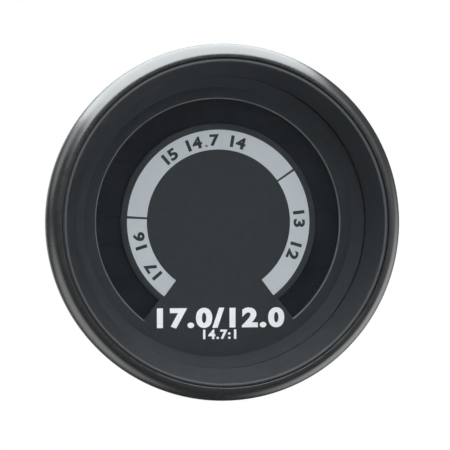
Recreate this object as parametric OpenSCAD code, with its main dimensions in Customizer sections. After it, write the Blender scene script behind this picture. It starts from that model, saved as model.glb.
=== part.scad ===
// Air fuel ratio gauge for a round panel hole, with a ring of 20 lamps behind the dial.
// The face looks towards -Y and +Z is up. The origin is on the gauge's axis, in the
// plane of the bezel's rear face, which seats on the front of the panel.
// Heights named _y run along the axis from that plane, and are negative in front of it.

/* [Bezel] */
// Thickness of the rolled sheet metal
bezel_t = 0.7; // [0.4:0.05:0.9]
// Height of the bezel in front of the panel
bezel_h = 9.5; // [7.5:0.1:14]
// Height of the bezel's widest line above the panel
bezel_wide_h = 5.8; // [4:0.1:7]
// Width lost between the widest line and the panel
bezel_draw_w = 0.6; // [0.2:0.05:0.9]
// Width of the outer roll, from the widest line in to the flat land
roll_w = 2; // [1.4:0.05:2.4]
// Width of the land between the roll and the bezel's lip
land_w = 0.35; // [0.25:0.05:0.7]
// Rounding of the lip's front edge
lip_round = 0.2; // [0.1:0.05:0.25]
// Length that the lip turns back behind the land
lip_len = 1.2; // [1:0.05:1.8]
// Rounding of the bezel's rear corner
bezel_corner = 0.5; // [0.3:0.05:0.8]

/* [Visor ring] */
// Width of the dark groove between the lip and the visor's rim
groove_w = 0.3; // [0.2:0.05:0.6]
// Depth of that groove
groove_depth = 0.5; // [0.4:0.05:1.1]
// Width of the visor's raised rim
rim_w = 0.4; // [0.2:0.05:0.6]
// Width that the visor's throat stands in over the reflector ring
throat_lip_w = 0.4; // [0.1:0.05:0.6]
// Height of the short straight wall at the throat
throat_land = 0.3; // [0.1:0.05:0.6]

/* [Lens and gasket] */
// Thickness of the lens
lens_t = 1.5; // [1:0.1:2]
// Width of the small bevel round the lens
lens_bevel = 0.2; // [0.1:0.05:0.3]
// Thickness of the lens gasket
gasket_t = 0.5; // [0.3:0.05:0.8]
// Width of the lens gasket
gasket_w = 2.3; // [1.5:0.1:2.8]

/* [Reflector ring] */
// Height of the inner reflector ring, from the lens to the dial
reflector_h = 2.7; // [1.8:0.1:4]
// Width of the ring, from its foot on the dial out to the case's bore
reflector_w = 2.1; // [1.5:0.1:3]
// Width of the ring's edge under the lens
reflector_edge_w = 0.7; // [0.5:0.05:1]

/* [Dial] */
// Diameter of the dial's open middle, inside the silver scale
band_in_d = 23.6; // [19:0.1:36]
// Width of the silver scale band
band_w = 3.2; // [2.4:0.1:6]
// Width of the black land between the scale and the lamp slot
band_land_w = 1; // [0.4:0.1:2]
// Width of the curved lamp slot
slot_w = 4.05; // [3.3:0.05:5.5]
// Width of the black land between the slot and the reflector ring
slot_land_w = 1.85; // [1.3:0.05:3]
// Thickness of the dial plate
dial_t = 0.8; // [0.5:0.1:1.2]
// Bevel on the slot's outer edge
slot_bevel = 0.25; // [0.1:0.05:0.4]
// Thickness of the scale band's foil
band_t = 0.06; // [0.04:0.01:0.1]
// Gap between the band's three zones
band_gap = 0.25; // [0.1:0.05:0.5]
// Direction of the slot's lean end, in degrees counterclockwise from the right
slot_from_angle = 232.5; // [226:0.5:233]
// Direction of the slot's rich end
slot_to_angle = -52; // [-52:0.5:-46]
// Direction of the band's lean end
band_from_angle = 234.5; // [220:0.5:240]
// Direction of the band's rich end
band_to_angle = -53; // [-60:0.5:-40]

/* [Smoked window] */
// Thickness of the smoked window behind the slot
window_t = 1.1; // [0.6:0.1:2]
// Overlap of the window beyond the slot's edges
window_lap = 0.9; // [0.4:0.1:1.5]
// Angle by which the window runs past the slot's ends
window_past_angle = 3; // [1:0.5:8]

/* [Lamp baffle] */
// Thickness of the moulded lamp baffle
baffle_t = 8; // [6.6:0.1:12]
// Width of the baffle's wall inside the lamp slot
baffle_wall_w = 1.3; // [0.6:0.1:1.8]
// Width of the ribs between neighbouring lamp pockets
rib_w = 0.5; // [0.3:0.05:0.7]
// Depth of the square-ended pockets in the baffle's face
pocket_depth = 1; // [0.4:0.1:1.5]
// Width of the ledge between a lamp cup's mouth and its pocket's sides
cup_ledge_w = 0.1; // [0.05:0.05:0.2]
// Direction of the first pocket's outer side
cell_from_angle = 234; // [233:0.5:240]
// Angle from one pocket to the next
cell_step_angle = 14.25; // [14.2:0.05:14.8]

/* [Lamps] */
// Diameter of a lamp's body
led_d = 3; // [2.4:0.1:3.4]
// Width of a lamp's flange round its body
led_flange_w = 0.3; // [0.15:0.05:0.4]
// Thickness of a lamp's flange
led_flange_t = 1; // [0.6:0.1:1.4]
// Height of a lamp from its board to the top of its dome
led_h = 5.2; // [3.6:0.1:6.2]
// Thickness of a lamp's square leads
led_lead_t = 0.5; // [0.3:0.05:0.6]
// Length of the leads beyond the board
tail_len = 1.2; // [0.6:0.1:1.6]

/* [Circuit boards] */
// Thickness of both boards
board_t = 1.6; // [1:0.1:2.4]
// Gap between the driver board and the case round it
driver_board_gap = 1.4; // [0.4:0.1:2]
// Length of the spacers between the boards
spacer_len = 10.4; // [8.6:0.1:16]
// Width across the flats of the spacers
spacer_af = 4; // [3.4:0.1:4.8]
// Direction of the upper right spacer, in degrees up from the right
spacer_angle = 28; // [25:0.5:30]
// Diameter of the board screws
screw_d = 2; // [1.6:0.1:2.4]
// Diameter of the screws' pan heads
screw_head_d = 3.8; // [3:0.1:4.6]
// Height of the screws' pan heads
screw_head_h = 1.3; // [0.8:0.1:1.8]
// Length of the screws below the head
screw_len = 5.2; // [4:0.1:6.2]
// Gap between the front screws' heads and the baffle's bore
screw_gap = 0.4; // [0.2:0.05:1]

/* [Electronics] */
// Spacing of the rows of leads on the chips and the small parts
pin_pitch = 2.54; // [2.1:0.02:3]
// Spacing of the pins in the headers between the boards
header_pitch = 2; // [1.6:0.1:2.4]
// Thickness of the headers' plastic base on the lamp board
header_base_t = 1.9; // [1:0.1:2.6]
// Gap between each header and the spacers beside it
header_gap = 0.6; // [0.2:0.1:1.2]
// Width of a driver chip's body
chip_w = 6.35; // [5:0.05:7.4]
// Thickness of a driver chip's body
chip_t = 3.3; // [2.4:0.1:4.4]
// Gap between a chip's corners and the edge of its board
chip_edge_gap = 0.9; // [0.4:0.1:1.4]
// Diameter of the electrolytic capacitors
cap_d = 5; // [4:0.1:6]
// Height of the electrolytic capacitors
cap_h = 6; // [4:0.1:7.2]
// Width and length of the trimmer
trimmer_w = 6; // [4.8:0.1:7]
// Height of the trimmer
trimmer_h = 4.9; // [3:0.1:6]
// Width of the regulator's flat body
regulator_w = 7.6; // [6.2:0.1:9.2]
// Length of the regulator's flat body
regulator_l = 10.8; // [8.8:0.1:12.8]
// Thickness of the regulator's flat body
regulator_t = 2.8; // [2:0.1:4]
// Diameter of the hole through the regulator
regulator_hole_d = 3.2; // [2.4:0.1:3.8]
// Diameter of a resistor's body
resistor_d = 2.3; // [1.6:0.1:2.8]
// Length of a resistor's body
resistor_l = 6.3; // [4.6:0.1:7.6]
// Diameter of the diode's body
diode_d = 2.7; // [1.8:0.1:3.4]
// Length of the diode's body
diode_l = 5.2; // [4:0.1:7]

/* [Case] */
// Wall thickness at the case's mouth
case_wall = 1.8; // [1.4:0.05:2.4]
// Width of the flange that the bezel is rolled over
flange_w = 1.3; // [0.9:0.05:2]
// Thickness of that flange
flange_t = 1.4; // [0.8:0.1:2]
// Depth of the relief behind the flange, inside the bezel's rear edge
neck_relief = 0.4; // [0.2:0.05:0.7]
// Length of the straight barrel behind the bezel
barrel_len = 14; // [10:0.1:22]
// Room behind the driver board, as far as the rear wall
rear_room = 8.4; // [6.9:0.1:16]
// Width lost to draft behind the straight barrel
case_draft_w = 0.6; // [0.2:0.05:1]
// Thickness of the case's rear wall
rear_wall = 2; // [1.5:0.1:3]
// Rounding of the case's rear edge
case_corner = 2; // [1:0.1:2.8]
// Width of the ledge that carries the lamp board
ledge_w = 1.2; // [0.7:0.1:1.8]
// Radius of the round locating rib in the case's bore
locating_rib_r = 0.9; // [0.6:0.05:1.2]
// Height of the raised pads round the studs
pad_h = 0.6; // [0.3:0.1:1.2]
// Diameter of the raised pads round the studs
pad_d = 11.4; // [10:0.1:14]

/* [Lead outlet] */
// Distance from the inside of the case's wall in to the lead outlet's centre
outlet_inset = 8.9; // [7.2:0.1:12]
// Diameter of the open bore for the leads
outlet_d = 5.5; // [4:0.1:6.6]
// Wall of the grommet inside the case's hole
grommet_wall = 1.25; // [0.9:0.05:1.6]
// Thickness of each of the grommet's flanges
grommet_flange_t = 1.5; // [1:0.1:2]
// Width that the flanges stand out round the hole
grommet_flange_w = 1.3; // [0.8:0.1:1.8]

/* [Studs] */
// Diameter of the studs over their thread
stud_d = 4.17; // [3.4:0.01:5]
// Distance between the two studs
stud_pitch = 25.4; // [21:0.1:30]
// Length of stud behind the thumb nuts, as stored
stud_past_len = 7.4; // [6:0.1:14]
// Bevel on the studs' ends
stud_bevel = 0.5; // [0.3:0.05:0.8]
// Width across the flats of the stud heads inside the case
stud_head_af = 8; // [6.6:0.1:9.6]
// Thickness of the stud heads
stud_head_t = 2.4; // [1.6:0.1:3]
// Outer diameter of the washers under the stud nuts
washer_d = 9.5; // [8:0.1:11]
// Thickness of those washers
washer_t = 0.6; // [0.4:0.05:1]
// Width across the flats of the stud nuts
stud_nut_af = 8; // [6.8:0.1:9.4]
// Thickness of the stud nuts
stud_nut_t = 2; // [1.4:0.1:3]

/* [Clamp bracket] */
// Width of the bracket's steel strap
strap_w = 12; // [9.8:0.1:16]
// Thickness of the bracket's steel strap
strap_t = 1.2; // [0.8:0.05:2]
// Gap between the case and each of the bracket's legs
leg_gap = 1.2; // [0.6:0.1:3]
// Room between the stud nuts and the strap, as stored
clamp_room = 5.1; // [5.1:0.1:12]
// Inside radius of the strap's two bends
bend_r = 3; // [2:0.1:5]
// Width of the bevels at the corners of the feet
foot_bevel = 1.5; // [0.6:0.1:3]
// Gap for the panel between the bezel and the feet, as stored
panel_gap = 6; // [5.1:0.1:9]
// Outer diameter of the lock washers
lock_washer_d = 7.6; // [6.4:0.1:9]
// Thickness of the lock washers
lock_washer_t = 1.1; // [0.7:0.1:1.6]
// Width of the cut through each lock washer
lock_split = 0.8; // [0.4:0.1:1.4]

/* [Thumb nuts] */
// Diameter of the thumb nuts over their grip
nut_d = 11; // [9.2:0.1:14]
// Length of the thumb nuts' grip
nut_grip_h = 3.6; // [2.6:0.1:6]
// Diameter of the plain collar that faces the bracket
nut_collar_d = 7.6; // [6.4:0.1:8.2]
// Length of that collar
nut_collar_h = 1.4; // [0.8:0.1:3]
// Number of grip flutes round each nut
nut_flutes = 20; // [12:1:24]
// Radius of each grip flute
flute_r = 0.5; // [0.3:0.05:0.6]
// Bevel on the grip's edges
nut_bevel = 0.4; // [0.2:0.05:0.6]

/* [Hidden] */

// Facets of large rounds and of small ones
$fn = 96;
small_fn = 32;
// Steps in the curved stretches of turned outlines
curve_steps = 16;
round_steps = 6;

// Gap between pieces that slip inside each other, and the closer gap of running threads
slip = 0.1;
thread_gap = 0.05;
// Overrun of every cut past the face that it opens
over = 1;

// Radii of the dial's rings, from its open middle outwards
band_in_r = band_in_d / 2;
band_out_r = band_in_r + band_w;
slot_in_r = band_out_r + band_land_w;
slot_out_r = slot_in_r + slot_w;
reflector_foot_r = slot_out_r + slot_land_w;

// Radii of the case and of what slips into its bore
inner_r = reflector_foot_r + reflector_w;
bore_r = inner_r + slip;
case_r = bore_r + case_wall;
board_bore_r = bore_r - ledge_w;
throat_r = inner_r - throat_lip_w;

// Radii of the bezel and of what nests inside it
stack_r = case_r + flange_w;
seat_r = stack_r + slip + bezel_t;
bezel_r = seat_r + bezel_draw_w;
roll_r = bezel_r - roll_w;
lip_r = roll_r - land_w;
groove_r = lip_r - groove_w;
rim_r = groove_r - rim_w;

// Heights of the stack, from the bezel's front to the case's rear
front_y = -bezel_h;
flange_back_y = -bezel_t;
flange_front_y = flange_back_y - flange_t;
lens_back_y = flange_front_y - gasket_t;
lens_front_y = lens_back_y - lens_t;
dial_y = lens_back_y + reflector_h;
window_y = dial_y + dial_t;
baffle_y = window_y + window_t;
lamp_board_y = baffle_y + baffle_t;
ledge_y = lamp_board_y + board_t;
driver_y = ledge_y + spacer_len;
driver_back_y = driver_y + board_t;
inside_y = driver_back_y + rear_room;
case_back_y = inside_y + rear_wall;
pad_y = case_back_y + pad_h;

// Lamp zones: 4 lean, 10 in the middle and 6 rich
lean_count = 4;
stoich_count = 10;
rich_count = 6;
cell_count = lean_count + stoich_count + rich_count;
lamp_ring_r = (slot_in_r + slot_out_r) / 2;
lean_end_angle = cell_from_angle - cell_step_angle * lean_count;
rich_from_angle = lean_end_angle - cell_step_angle * stoich_count;

// Small sizes of the lamps and of the baffle round them
led_r = led_d / 2;
led_flange_r = led_r + led_flange_w;
led_bore_r = led_r + slip;
cup_r = lamp_ring_r * sin(cell_step_angle / 2) - rib_w / 2 - cup_ledge_w;
baffle_bore_r = slot_in_r - baffle_wall_w;

// Square leads and pins, and the round holes that take them
square_hole_share = 0.8;
lead_hole_r = led_lead_t * square_hole_share;
pin_t = 0.5;
pin_hole_r = pin_t * square_hole_share;

// Spacer places, seen from the front. The front screws' heads lie inside the baffle's bore.
spacer_bore_r = screw_d / 2 + thread_gap;
spacer_ring_r = baffle_bore_r - screw_gap - screw_head_d / 2;
spacer_x = spacer_ring_r * cos(spacer_angle);
spacer_z = spacer_ring_r * sin(spacer_angle);
spacer_places = [for (sx = [-1, 1], sz = [-1, 1]) [sx * spacer_x, sz * spacer_z]];

// Headers between the boards, beside the spacers
header_rows = 5;
header_x = spacer_x - spacer_af / 2 / cos(30) - header_gap - header_pitch;
socket_h = spacer_len - header_base_t;

// Driver chips: legs a side, the spread of the two rows, and their thin metal
driver_board_r = board_bore_r - driver_board_gap;
chip_legs = 9;
chip_l = chip_legs * pin_pitch;
chip_row_w = 3 * pin_pitch;
chip_z = sqrt(pow(driver_board_r - chip_edge_gap, 2) - pow(chip_l / 2, 2)) - chip_w / 2;
leg_t = 0.25;
leg_w = 0.5;
leg_shoulder_w = 1.4;
chip_lift = 0.5;
chip_notch_r = 1;
leg_hole_r = 0.4;

// Sizes and places of the other parts on the driver board
cap_edge_gap = 1.7;
cap_gap = 1.4;
cap_lead_gap = 2;
cap_x = driver_board_r - cap_edge_gap - cap_d / 2;
cap_z = (cap_d + cap_gap) / 2;
cap_neck = 0.25;
cap_bead_h = 1;
trimmer_edge_gap = 1;
trimmer_x = -(driver_board_r - trimmer_edge_gap - trimmer_w / 2);
trimmer_screw_d = 2.6;
trimmer_slot_w = 0.5;
trimmer_slot_depth = 0.6;
lead_d = 0.6;
lead_hole_clear = 0.15;
crop_len = 0.3;
body_lift = 0.2;
axial_pitch = 4 * pin_pitch;
resistor_spread = 3.8;
resistor_z = [chip_z - resistor_spread / 2, chip_z + resistor_spread / 2];
resistor_cap_l = 1.25;
resistor_waist = 0.2;
diode_edge_gap = 5.3;
diode_x = driver_board_r - diode_edge_gap - diode_d / 2;
regulator_hole_z = 3.9;
regulator_step = 0.5;
regulator_z = pin_pitch / 2;
lead_pad_inset = 2.3;
lead_pad_z = driver_board_r - lead_pad_inset;
lead_pad_hole_r = 0.65;
lead_pads = 4;

// Studs, grommet and bracket, as stored
stud_r = stud_d / 2;
stud_hole_r = stud_r + slip;
stud_z = stud_pitch / 2;
outlet_x = board_bore_r - outlet_inset;
outlet_r = outlet_d / 2;
grommet_r = outlet_r + grommet_wall;
grommet_edge = grommet_flange_t / 3;
leg_r = case_r + leg_gap;
strap_y = pad_y + washer_t + stud_nut_t + clamp_room;
strap_back_y = strap_y + strap_t;
lock_back_y = strap_back_y + lock_washer_t;
nut_h = nut_collar_h + nut_grip_h;
stud_end_y = lock_back_y + nut_h + stud_past_len;

// Points along part of an ellipse, as [across, along]
function arc_points(x, y, rx, ry, from, to, steps) = [
    for (i = [0:steps])
        let (a = from + (to - from) * i / steps)
        [x + rx * cos(a), y + ry * sin(a)]
];

// Points of the bezel's side, which draws in towards the panel. inset is the depth below it.
function side_points(inset, end_y) = [
    for (i = [0:curve_steps])
        let (s = i / curve_steps)
        [bezel_r - inset - bezel_draw_w * s * s, -bezel_wide_h + s * (bezel_wide_h + end_y)]
];

function backwards(points) = [for (i = [len(points) - 1:-1:0]) points[i]];

// A full turn of an outline of [radius, height along the axis]
module turned(outline) {
    rotate([90, 0, 0])
        rotate_extrude()
            polygon([for (p = outline) [p[0], -p[1]]]);
}

// Stands flat work up: seen from the front, drawn x is right and drawn y is up.
// The children's own height runs forwards from back_y.
module facing(back_y) {
    translate([0, back_y, 0])
        rotate([90, 0, 0])
            children();
}

// Stands a piece up with its own height running to the rear from start_y
module rearwards(x, start_y, z) {
    translate([x, start_y, z])
        rotate([-90, 0, 0])
            children();
}

// Pie slice between two directions, wide enough to cut a full dial
module slice(from, to) {
    polygon(concat([[0, 0]], arc_points(0, 0, 2 * case_r, 2 * case_r, from, to, curve_steps)));
}

// Part of a flat ring between two directions
module arc_band(in_r, out_r, from, to) {
    intersection() {
        difference() {
            circle(out_r);
            circle(in_r);
        }
        slice(from, to);
    }
}

// The locating rib, or the notch that clears it
module key_round(r) {
    translate([0, bore_r])
        circle(r, $fn = small_fn);
}

module hex_prism(across_flats, height) {
    cylinder(h = height, d = across_flats / cos(30), $fn = 6);
}

// Carries its children to one lamp's place, with x pointing out from the axis
module at_lamp(cell) {
    rotate([0, 0, cell_from_angle - cell_step_angle * (cell + 0.5)])
        translate([lamp_ring_r, 0, 0])
            children();
}

// Rolled sheet ring that holds lens, visor and case together
module bezel() {
    curl_r = case_r + slip;
    color([0.13, 0.14, 0.15])
        turned(concat(
            arc_points(lip_r + lip_round, front_y + lip_round, lip_round, lip_round,
                180, 270, round_steps),
            arc_points(roll_r, -bezel_wide_h, roll_w, bezel_h - bezel_wide_h,
                -90, 0, curve_steps),
            side_points(0, -bezel_corner),
            arc_points(seat_r - bezel_corner, -bezel_corner, bezel_corner, bezel_corner,
                0, 90, round_steps),
            [[curl_r, 0], [curl_r, -bezel_t]],
            backwards(side_points(bezel_t, -bezel_t)),
            arc_points(lip_r + bezel_t, -bezel_wide_h, roll_r + roll_w - lip_r - 2 * bezel_t,
                bezel_h - bezel_t - bezel_wide_h, 0, -90, curve_steps),
            [[lip_r + bezel_t, front_y + lip_len], [lip_r, front_y + lip_len]]
        ));
}

// Conical trim ring in front of the lens, with its rim just inside the bezel's lip
module visor_ring() {
    floor_y = front_y + groove_depth;
    shoulder_y = front_y + lip_len + slip;
    rim_round = rim_w / 2;
    color([0.16, 0.17, 0.18])
        turned(concat(
            arc_points(rim_r + rim_round, front_y + rim_round, rim_round, rim_round,
                180, 360, curve_steps),
            [
                [groove_r, floor_y],
                [lip_r - slip, floor_y],
                [lip_r - slip, shoulder_y],
                [stack_r, shoulder_y],
                [stack_r, lens_front_y],
                [throat_r, lens_front_y],
                [throat_r, lens_front_y - throat_land]
            ]
        ));
}

// Flat clear lens
module lens() {
    color([0.85, 0.9, 0.92, 0.3])
        turned([
            [0, lens_front_y],
            [stack_r - lens_bevel, lens_front_y],
            [stack_r, lens_front_y + lens_bevel],
            [stack_r, lens_back_y - lens_bevel],
            [stack_r - lens_bevel, lens_back_y],
            [0, lens_back_y]
        ]);
}

// Flat rubber ring between the lens and the case's flange
module lens_gasket() {
    color([0.07, 0.07, 0.07])
        facing(flange_front_y)
            linear_extrude(gasket_t)
                difference() {
                    circle(stack_r - lens_bevel);
                    circle(stack_r - lens_bevel - gasket_w);
                }
}

// Inner cone between the lens and the dial
module reflector_ring() {
    color([0.16, 0.17, 0.18])
        turned([
            [inner_r - reflector_edge_w, lens_back_y],
            [inner_r, lens_back_y],
            [inner_r, dial_y],
            [reflector_foot_r, dial_y]
        ]);
}

// Black metal dial with the curved slot for the lamps, bevelled on its outer edge
module dial_plate() {
    color([0.19, 0.21, 0.22])
        facing(window_y)
            difference() {
                linear_extrude(dial_t)
                    difference() {
                        circle(inner_r);
                        key_round(locating_rib_r + slip);
                    }
                rotate([0, 0, slot_to_angle])
                    rotate_extrude(angle = slot_from_angle - slot_to_angle)
                        polygon([
                            [slot_in_r, -over],
                            [slot_out_r, -over],
                            [slot_out_r, dial_t - slot_bevel],
                            [slot_out_r + slot_bevel + over, dial_t + over],
                            [slot_in_r, dial_t + over]
                        ]);
            }
}

// Silver foil scale in three zones, lying on the dial
module scale_band() {
    color([0.7, 0.72, 0.74])
        facing(dial_y)
            linear_extrude(band_t)
                difference() {
                    arc_band(band_in_r, band_out_r, band_from_angle, band_to_angle);
                    for (a = [lean_end_angle, rich_from_angle])
                        rotate([0, 0, a])
                            translate([band_in_r - over, -band_gap / 2])
                                square([band_w + 2 * over, band_gap]);
                }
}

// Smoked strip that hides the lamps until they light
module smoked_window() {
    color([0.1, 0.11, 0.12, 0.8])
        facing(baffle_y)
            linear_extrude(window_t)
                arc_band(slot_in_r - window_lap, slot_out_r + window_lap,
                    slot_from_angle + window_past_angle, slot_to_angle - window_past_angle);
}

// Outline of the pockets in the baffle's face: one curved slot, divided by ribs
module pockets() {
    difference() {
        arc_band(slot_in_r, slot_out_r, cell_from_angle,
            cell_from_angle - cell_step_angle * cell_count);
        for (i = [0:cell_count])
            rotate([0, 0, cell_from_angle - cell_step_angle * i])
                translate([0, -rib_w / 2])
                    square([slot_out_r + over, rib_w]);
    }
}

// Moulded ring with a flaring cup for each lamp, a pocket in front of each cup,
// and one curved recess in the rear for the lamps' flanges
module lamp_baffle() {
    cup_start = led_h + slip;
    cup_end = baffle_t - pocket_depth;
    color([0.12, 0.12, 0.13])
        facing(lamp_board_y)
            difference() {
                linear_extrude(baffle_t)
                    difference() {
                        circle(inner_r);
                        circle(baffle_bore_r);
                        key_round(locating_rib_r + slip);
                    }
                translate([0, 0, cup_end])
                    linear_extrude(pocket_depth + over)
                        pockets();
                translate([0, 0, -over])
                    linear_extrude(over + led_flange_t + slip)
                        arc_band(lamp_ring_r - led_flange_r - slip, lamp_ring_r + led_flange_r + slip,
                            cell_from_angle, cell_from_angle - cell_step_angle * cell_count);
                for (i = [0:cell_count - 1])
                    at_lamp(i) {
                        cylinder(h = cup_start + slip, r = led_bore_r, $fn = small_fn);
                        translate([0, 0, cup_start])
                            cylinder(h = cup_end - cup_start, r1 = led_bore_r, r2 = cup_r,
                                $fn = small_fn);
                        translate([0, 0, cup_end - slip])
                            cylinder(h = 2 * slip, r = cup_r, $fn = small_fn);
                    }
            }
}

// One lamp: flange, barrel and dome on two square leads that pass through the board
module lamp() {
    rotate_extrude($fn = small_fn)
        polygon(concat(
            [[0, 0], [led_flange_r, 0], [led_flange_r, led_flange_t], [led_r, led_flange_t]],
            arc_points(0, led_h - led_r, led_r, led_r, 0, 90, curve_steps)
        ));
    for (side = [-1, 1])
        translate([0, side * pin_pitch / 2, -(board_t + tail_len) / 2 + led_lead_t / 2])
            cube([led_lead_t, led_lead_t, board_t + tail_len + led_lead_t], center = true);
}

module lamps(first, count, tint) {
    color(tint)
        facing(lamp_board_y)
            for (i = [first:first + count - 1])
                at_lamp(i)
                    lamp();
}

module lean_lamps() {
    lamps(0, lean_count, [0.45, 0.08, 0.06]);
}

module stoich_lamps() {
    lamps(lean_count, stoich_count, [0.5, 0.36, 0.08]);
}

module rich_lamps() {
    lamps(lean_count + stoich_count, rich_count, [0.1, 0.4, 0.14]);
}

// Places of the two headers' pins, seen from the front
header_places = [
    for (side = [-1, 1], row = [0:header_rows - 1], column = [-0.5, 0.5])
        [side * header_x + column * header_pitch, (row - (header_rows - 1) / 2) * header_pitch]
];

// Round board that carries the lamps and seats on the case's ledge
module lamp_board() {
    color([0.05, 0.25, 0.13])
        facing(ledge_y)
            difference() {
                linear_extrude(board_t)
                    difference() {
                        circle(inner_r);
                        key_round(locating_rib_r + slip);
                    }
                for (i = [0:cell_count - 1], side = [-1, 1])
                    at_lamp(i)
                        translate([0, side * pin_pitch / 2, -over])
                            cylinder(h = board_t + 2 * over, r = lead_hole_r, $fn = small_fn);
                for (p = spacer_places)
                    translate([p[0], p[1], -over])
                        cylinder(h = board_t + 2 * over, r = spacer_bore_r + slip, $fn = small_fn);
                for (p = header_places)
                    translate([p[0], p[1], -over])
                        cylinder(h = board_t + 2 * over, r = pin_hole_r, $fn = small_fn);
            }
}

// Places of the driver board's leads, seen from the front
chip_places = [
    for (chip = [-1, 1], leg = [0:chip_legs - 1], row = [-0.5, 0.5])
        [(leg - (chip_legs - 1) / 2) * pin_pitch, chip * chip_z + row * chip_row_w]
];
small_lead_places = concat(
    [for (sz = [-1, 1], s = [-0.5, 0.5]) [cap_x + s * cap_lead_gap, sz * cap_z]],
    [for (i = [-1:1]) [trimmer_x, i * pin_pitch / 2]],
    [for (i = [-1:1]) [i * pin_pitch, regulator_z - regulator_l / 2 - pin_pitch]],
    [for (z = resistor_z, sz = [-1, 1], s = [-0.5, 0.5]) [s * axial_pitch, sz * z]],
    [for (s = [-0.5, 0.5]) [diode_x, s * axial_pitch]]
);

// Round board with the display drivers, held off the lamp board by four spacers
module driver_board() {
    color([0.05, 0.25, 0.13])
        facing(driver_back_y)
            difference() {
                cylinder(h = board_t, r = driver_board_r);
                for (p = spacer_places)
                    translate([p[0], p[1], -over])
                        cylinder(h = board_t + 2 * over, r = spacer_bore_r + slip, $fn = small_fn);
                for (p = chip_places)
                    translate([p[0], p[1], -over])
                        cylinder(h = board_t + 2 * over, r = leg_hole_r, $fn = small_fn);
                for (p = small_lead_places)
                    translate([p[0], p[1], -over])
                        cylinder(h = board_t + 2 * over, r = lead_d / 2 + lead_hole_clear,
                            $fn = small_fn);
                for (i = [0:lead_pads - 1])
                    translate([(i - (lead_pads - 1) / 2) * pin_pitch, lead_pad_z, -over])
                        cylinder(h = board_t + 2 * over, r = lead_pad_hole_r, $fn = small_fn);
            }
}

// Two double rows of pins behind the lamp board
module header_pins() {
    pin_len = board_t + tail_len + spacer_len - header_base_t;
    color([0.75, 0.62, 0.3])
        facing(ledge_y) {
            for (side = [-1, 1])
                translate([side * header_x, 0, -header_base_t / 2])
                    cube([2 * header_pitch, header_rows * header_pitch, header_base_t],
                        center = true);
            for (p = header_places)
                translate([p[0], p[1], board_t + tail_len - pin_len / 2])
                    cube([pin_t, pin_t, pin_len], center = true);
        }
}

// Two sockets on the driver board that the pins plug into
module header_sockets() {
    color([0.08, 0.08, 0.09])
        facing(driver_y)
            difference() {
                for (side = [-1, 1])
                    translate([side * header_x, 0, socket_h / 2])
                        cube([2 * header_pitch, header_rows * header_pitch, socket_h],
                            center = true);
                for (p = header_places)
                    translate([p[0], p[1], socket_h / 2 + slip])
                        cube([pin_t + 2 * slip, pin_t + 2 * slip, socket_h], center = true);
            }
}

// One leg of a driver chip, bent down from the body's side and through the board
module chip_leg() {
    row = chip_row_w / 2;
    shoulder_h = chip_lift + chip_t / 2;
    reach = row + leg_t / 2 - chip_w / 2 + leg_t;
    translate([-leg_shoulder_w / 2, chip_w / 2 - leg_t, shoulder_h - leg_t / 2])
        cube([leg_shoulder_w, reach, leg_t]);
    translate([-leg_shoulder_w / 2, row - leg_t / 2, chip_lift])
        cube([leg_shoulder_w, leg_t, shoulder_h - chip_lift]);
    translate([-leg_w / 2, row - leg_t / 2, -board_t - tail_len])
        cube([leg_w, leg_t, board_t + tail_len + shoulder_h]);
}

// Two dot display drivers on the front of the driver board
module driver_chips() {
    color([0.1, 0.1, 0.11])
        facing(driver_y)
            for (chip = [-1, 1])
                translate([0, chip * chip_z, 0]) {
                    difference() {
                        translate([-chip_l / 2, -chip_w / 2, chip_lift])
                            cube([chip_l, chip_w, chip_t]);
                        translate([-chip_l / 2, 0, chip_lift + chip_t / 2])
                            cylinder(h = chip_t, r = chip_notch_r, $fn = small_fn);
                    }
                    for (leg = [0:chip_legs - 1], turn = [0, 180])
                        translate([(leg - (chip_legs - 1) / 2) * pin_pitch, 0, 0])
                            rotate([0, 0, turn])
                                chip_leg();
                }
}

// A straight round lead, from a height above its board to a stub beyond it
module board_lead(from_h, stub) {
    translate([0, 0, -board_t - stub])
        cylinder(h = board_t + stub + from_h, d = lead_d, $fn = small_fn);
}

// Electrolytic cans with a rolled neck above the rubber bung
module capacitors() {
    r = cap_d / 2;
    color([0.12, 0.14, 0.22])
        facing(driver_y)
            for (side = [-1, 1])
                translate([cap_x, side * cap_z, 0]) {
                    rotate_extrude($fn = small_fn)
                        polygon([
                            [0, 0],
                            [r, 0],
                            [r, cap_bead_h],
                            [r - cap_neck, cap_bead_h + cap_neck],
                            [r, cap_bead_h + 2 * cap_neck],
                            [r, cap_h - cap_neck],
                            [r - cap_neck, cap_h],
                            [0, cap_h]
                        ]);
                    for (s = [-0.5, 0.5])
                        translate([s * cap_lead_gap, 0, 0])
                            board_lead(cap_neck, tail_len);
                }
}

// Small square trimmer that sets the middle of the scale
module trimmer() {
    color([0.1, 0.25, 0.55])
        facing(driver_y)
            translate([trimmer_x, 0, 0]) {
                difference() {
                    translate([-trimmer_w / 2, -trimmer_w / 2, 0])
                        cube([trimmer_w, trimmer_w, trimmer_h]);
                    translate([0, 0, trimmer_h - trimmer_slot_depth])
                        difference() {
                            cylinder(h = trimmer_h, d = trimmer_screw_d + 4 * slip, $fn = small_fn);
                            cylinder(h = trimmer_h, d = trimmer_screw_d, $fn = small_fn);
                        }
                    translate([-trimmer_screw_d / 2, -trimmer_slot_w / 2,
                        trimmer_h - trimmer_slot_depth])
                        cube([trimmer_screw_d, trimmer_slot_w, trimmer_h]);
                }
                for (i = [-1:1])
                    translate([0, i * pin_pitch / 2, 0])
                        board_lead(trimmer_slot_depth, tail_len);
            }
}

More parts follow.
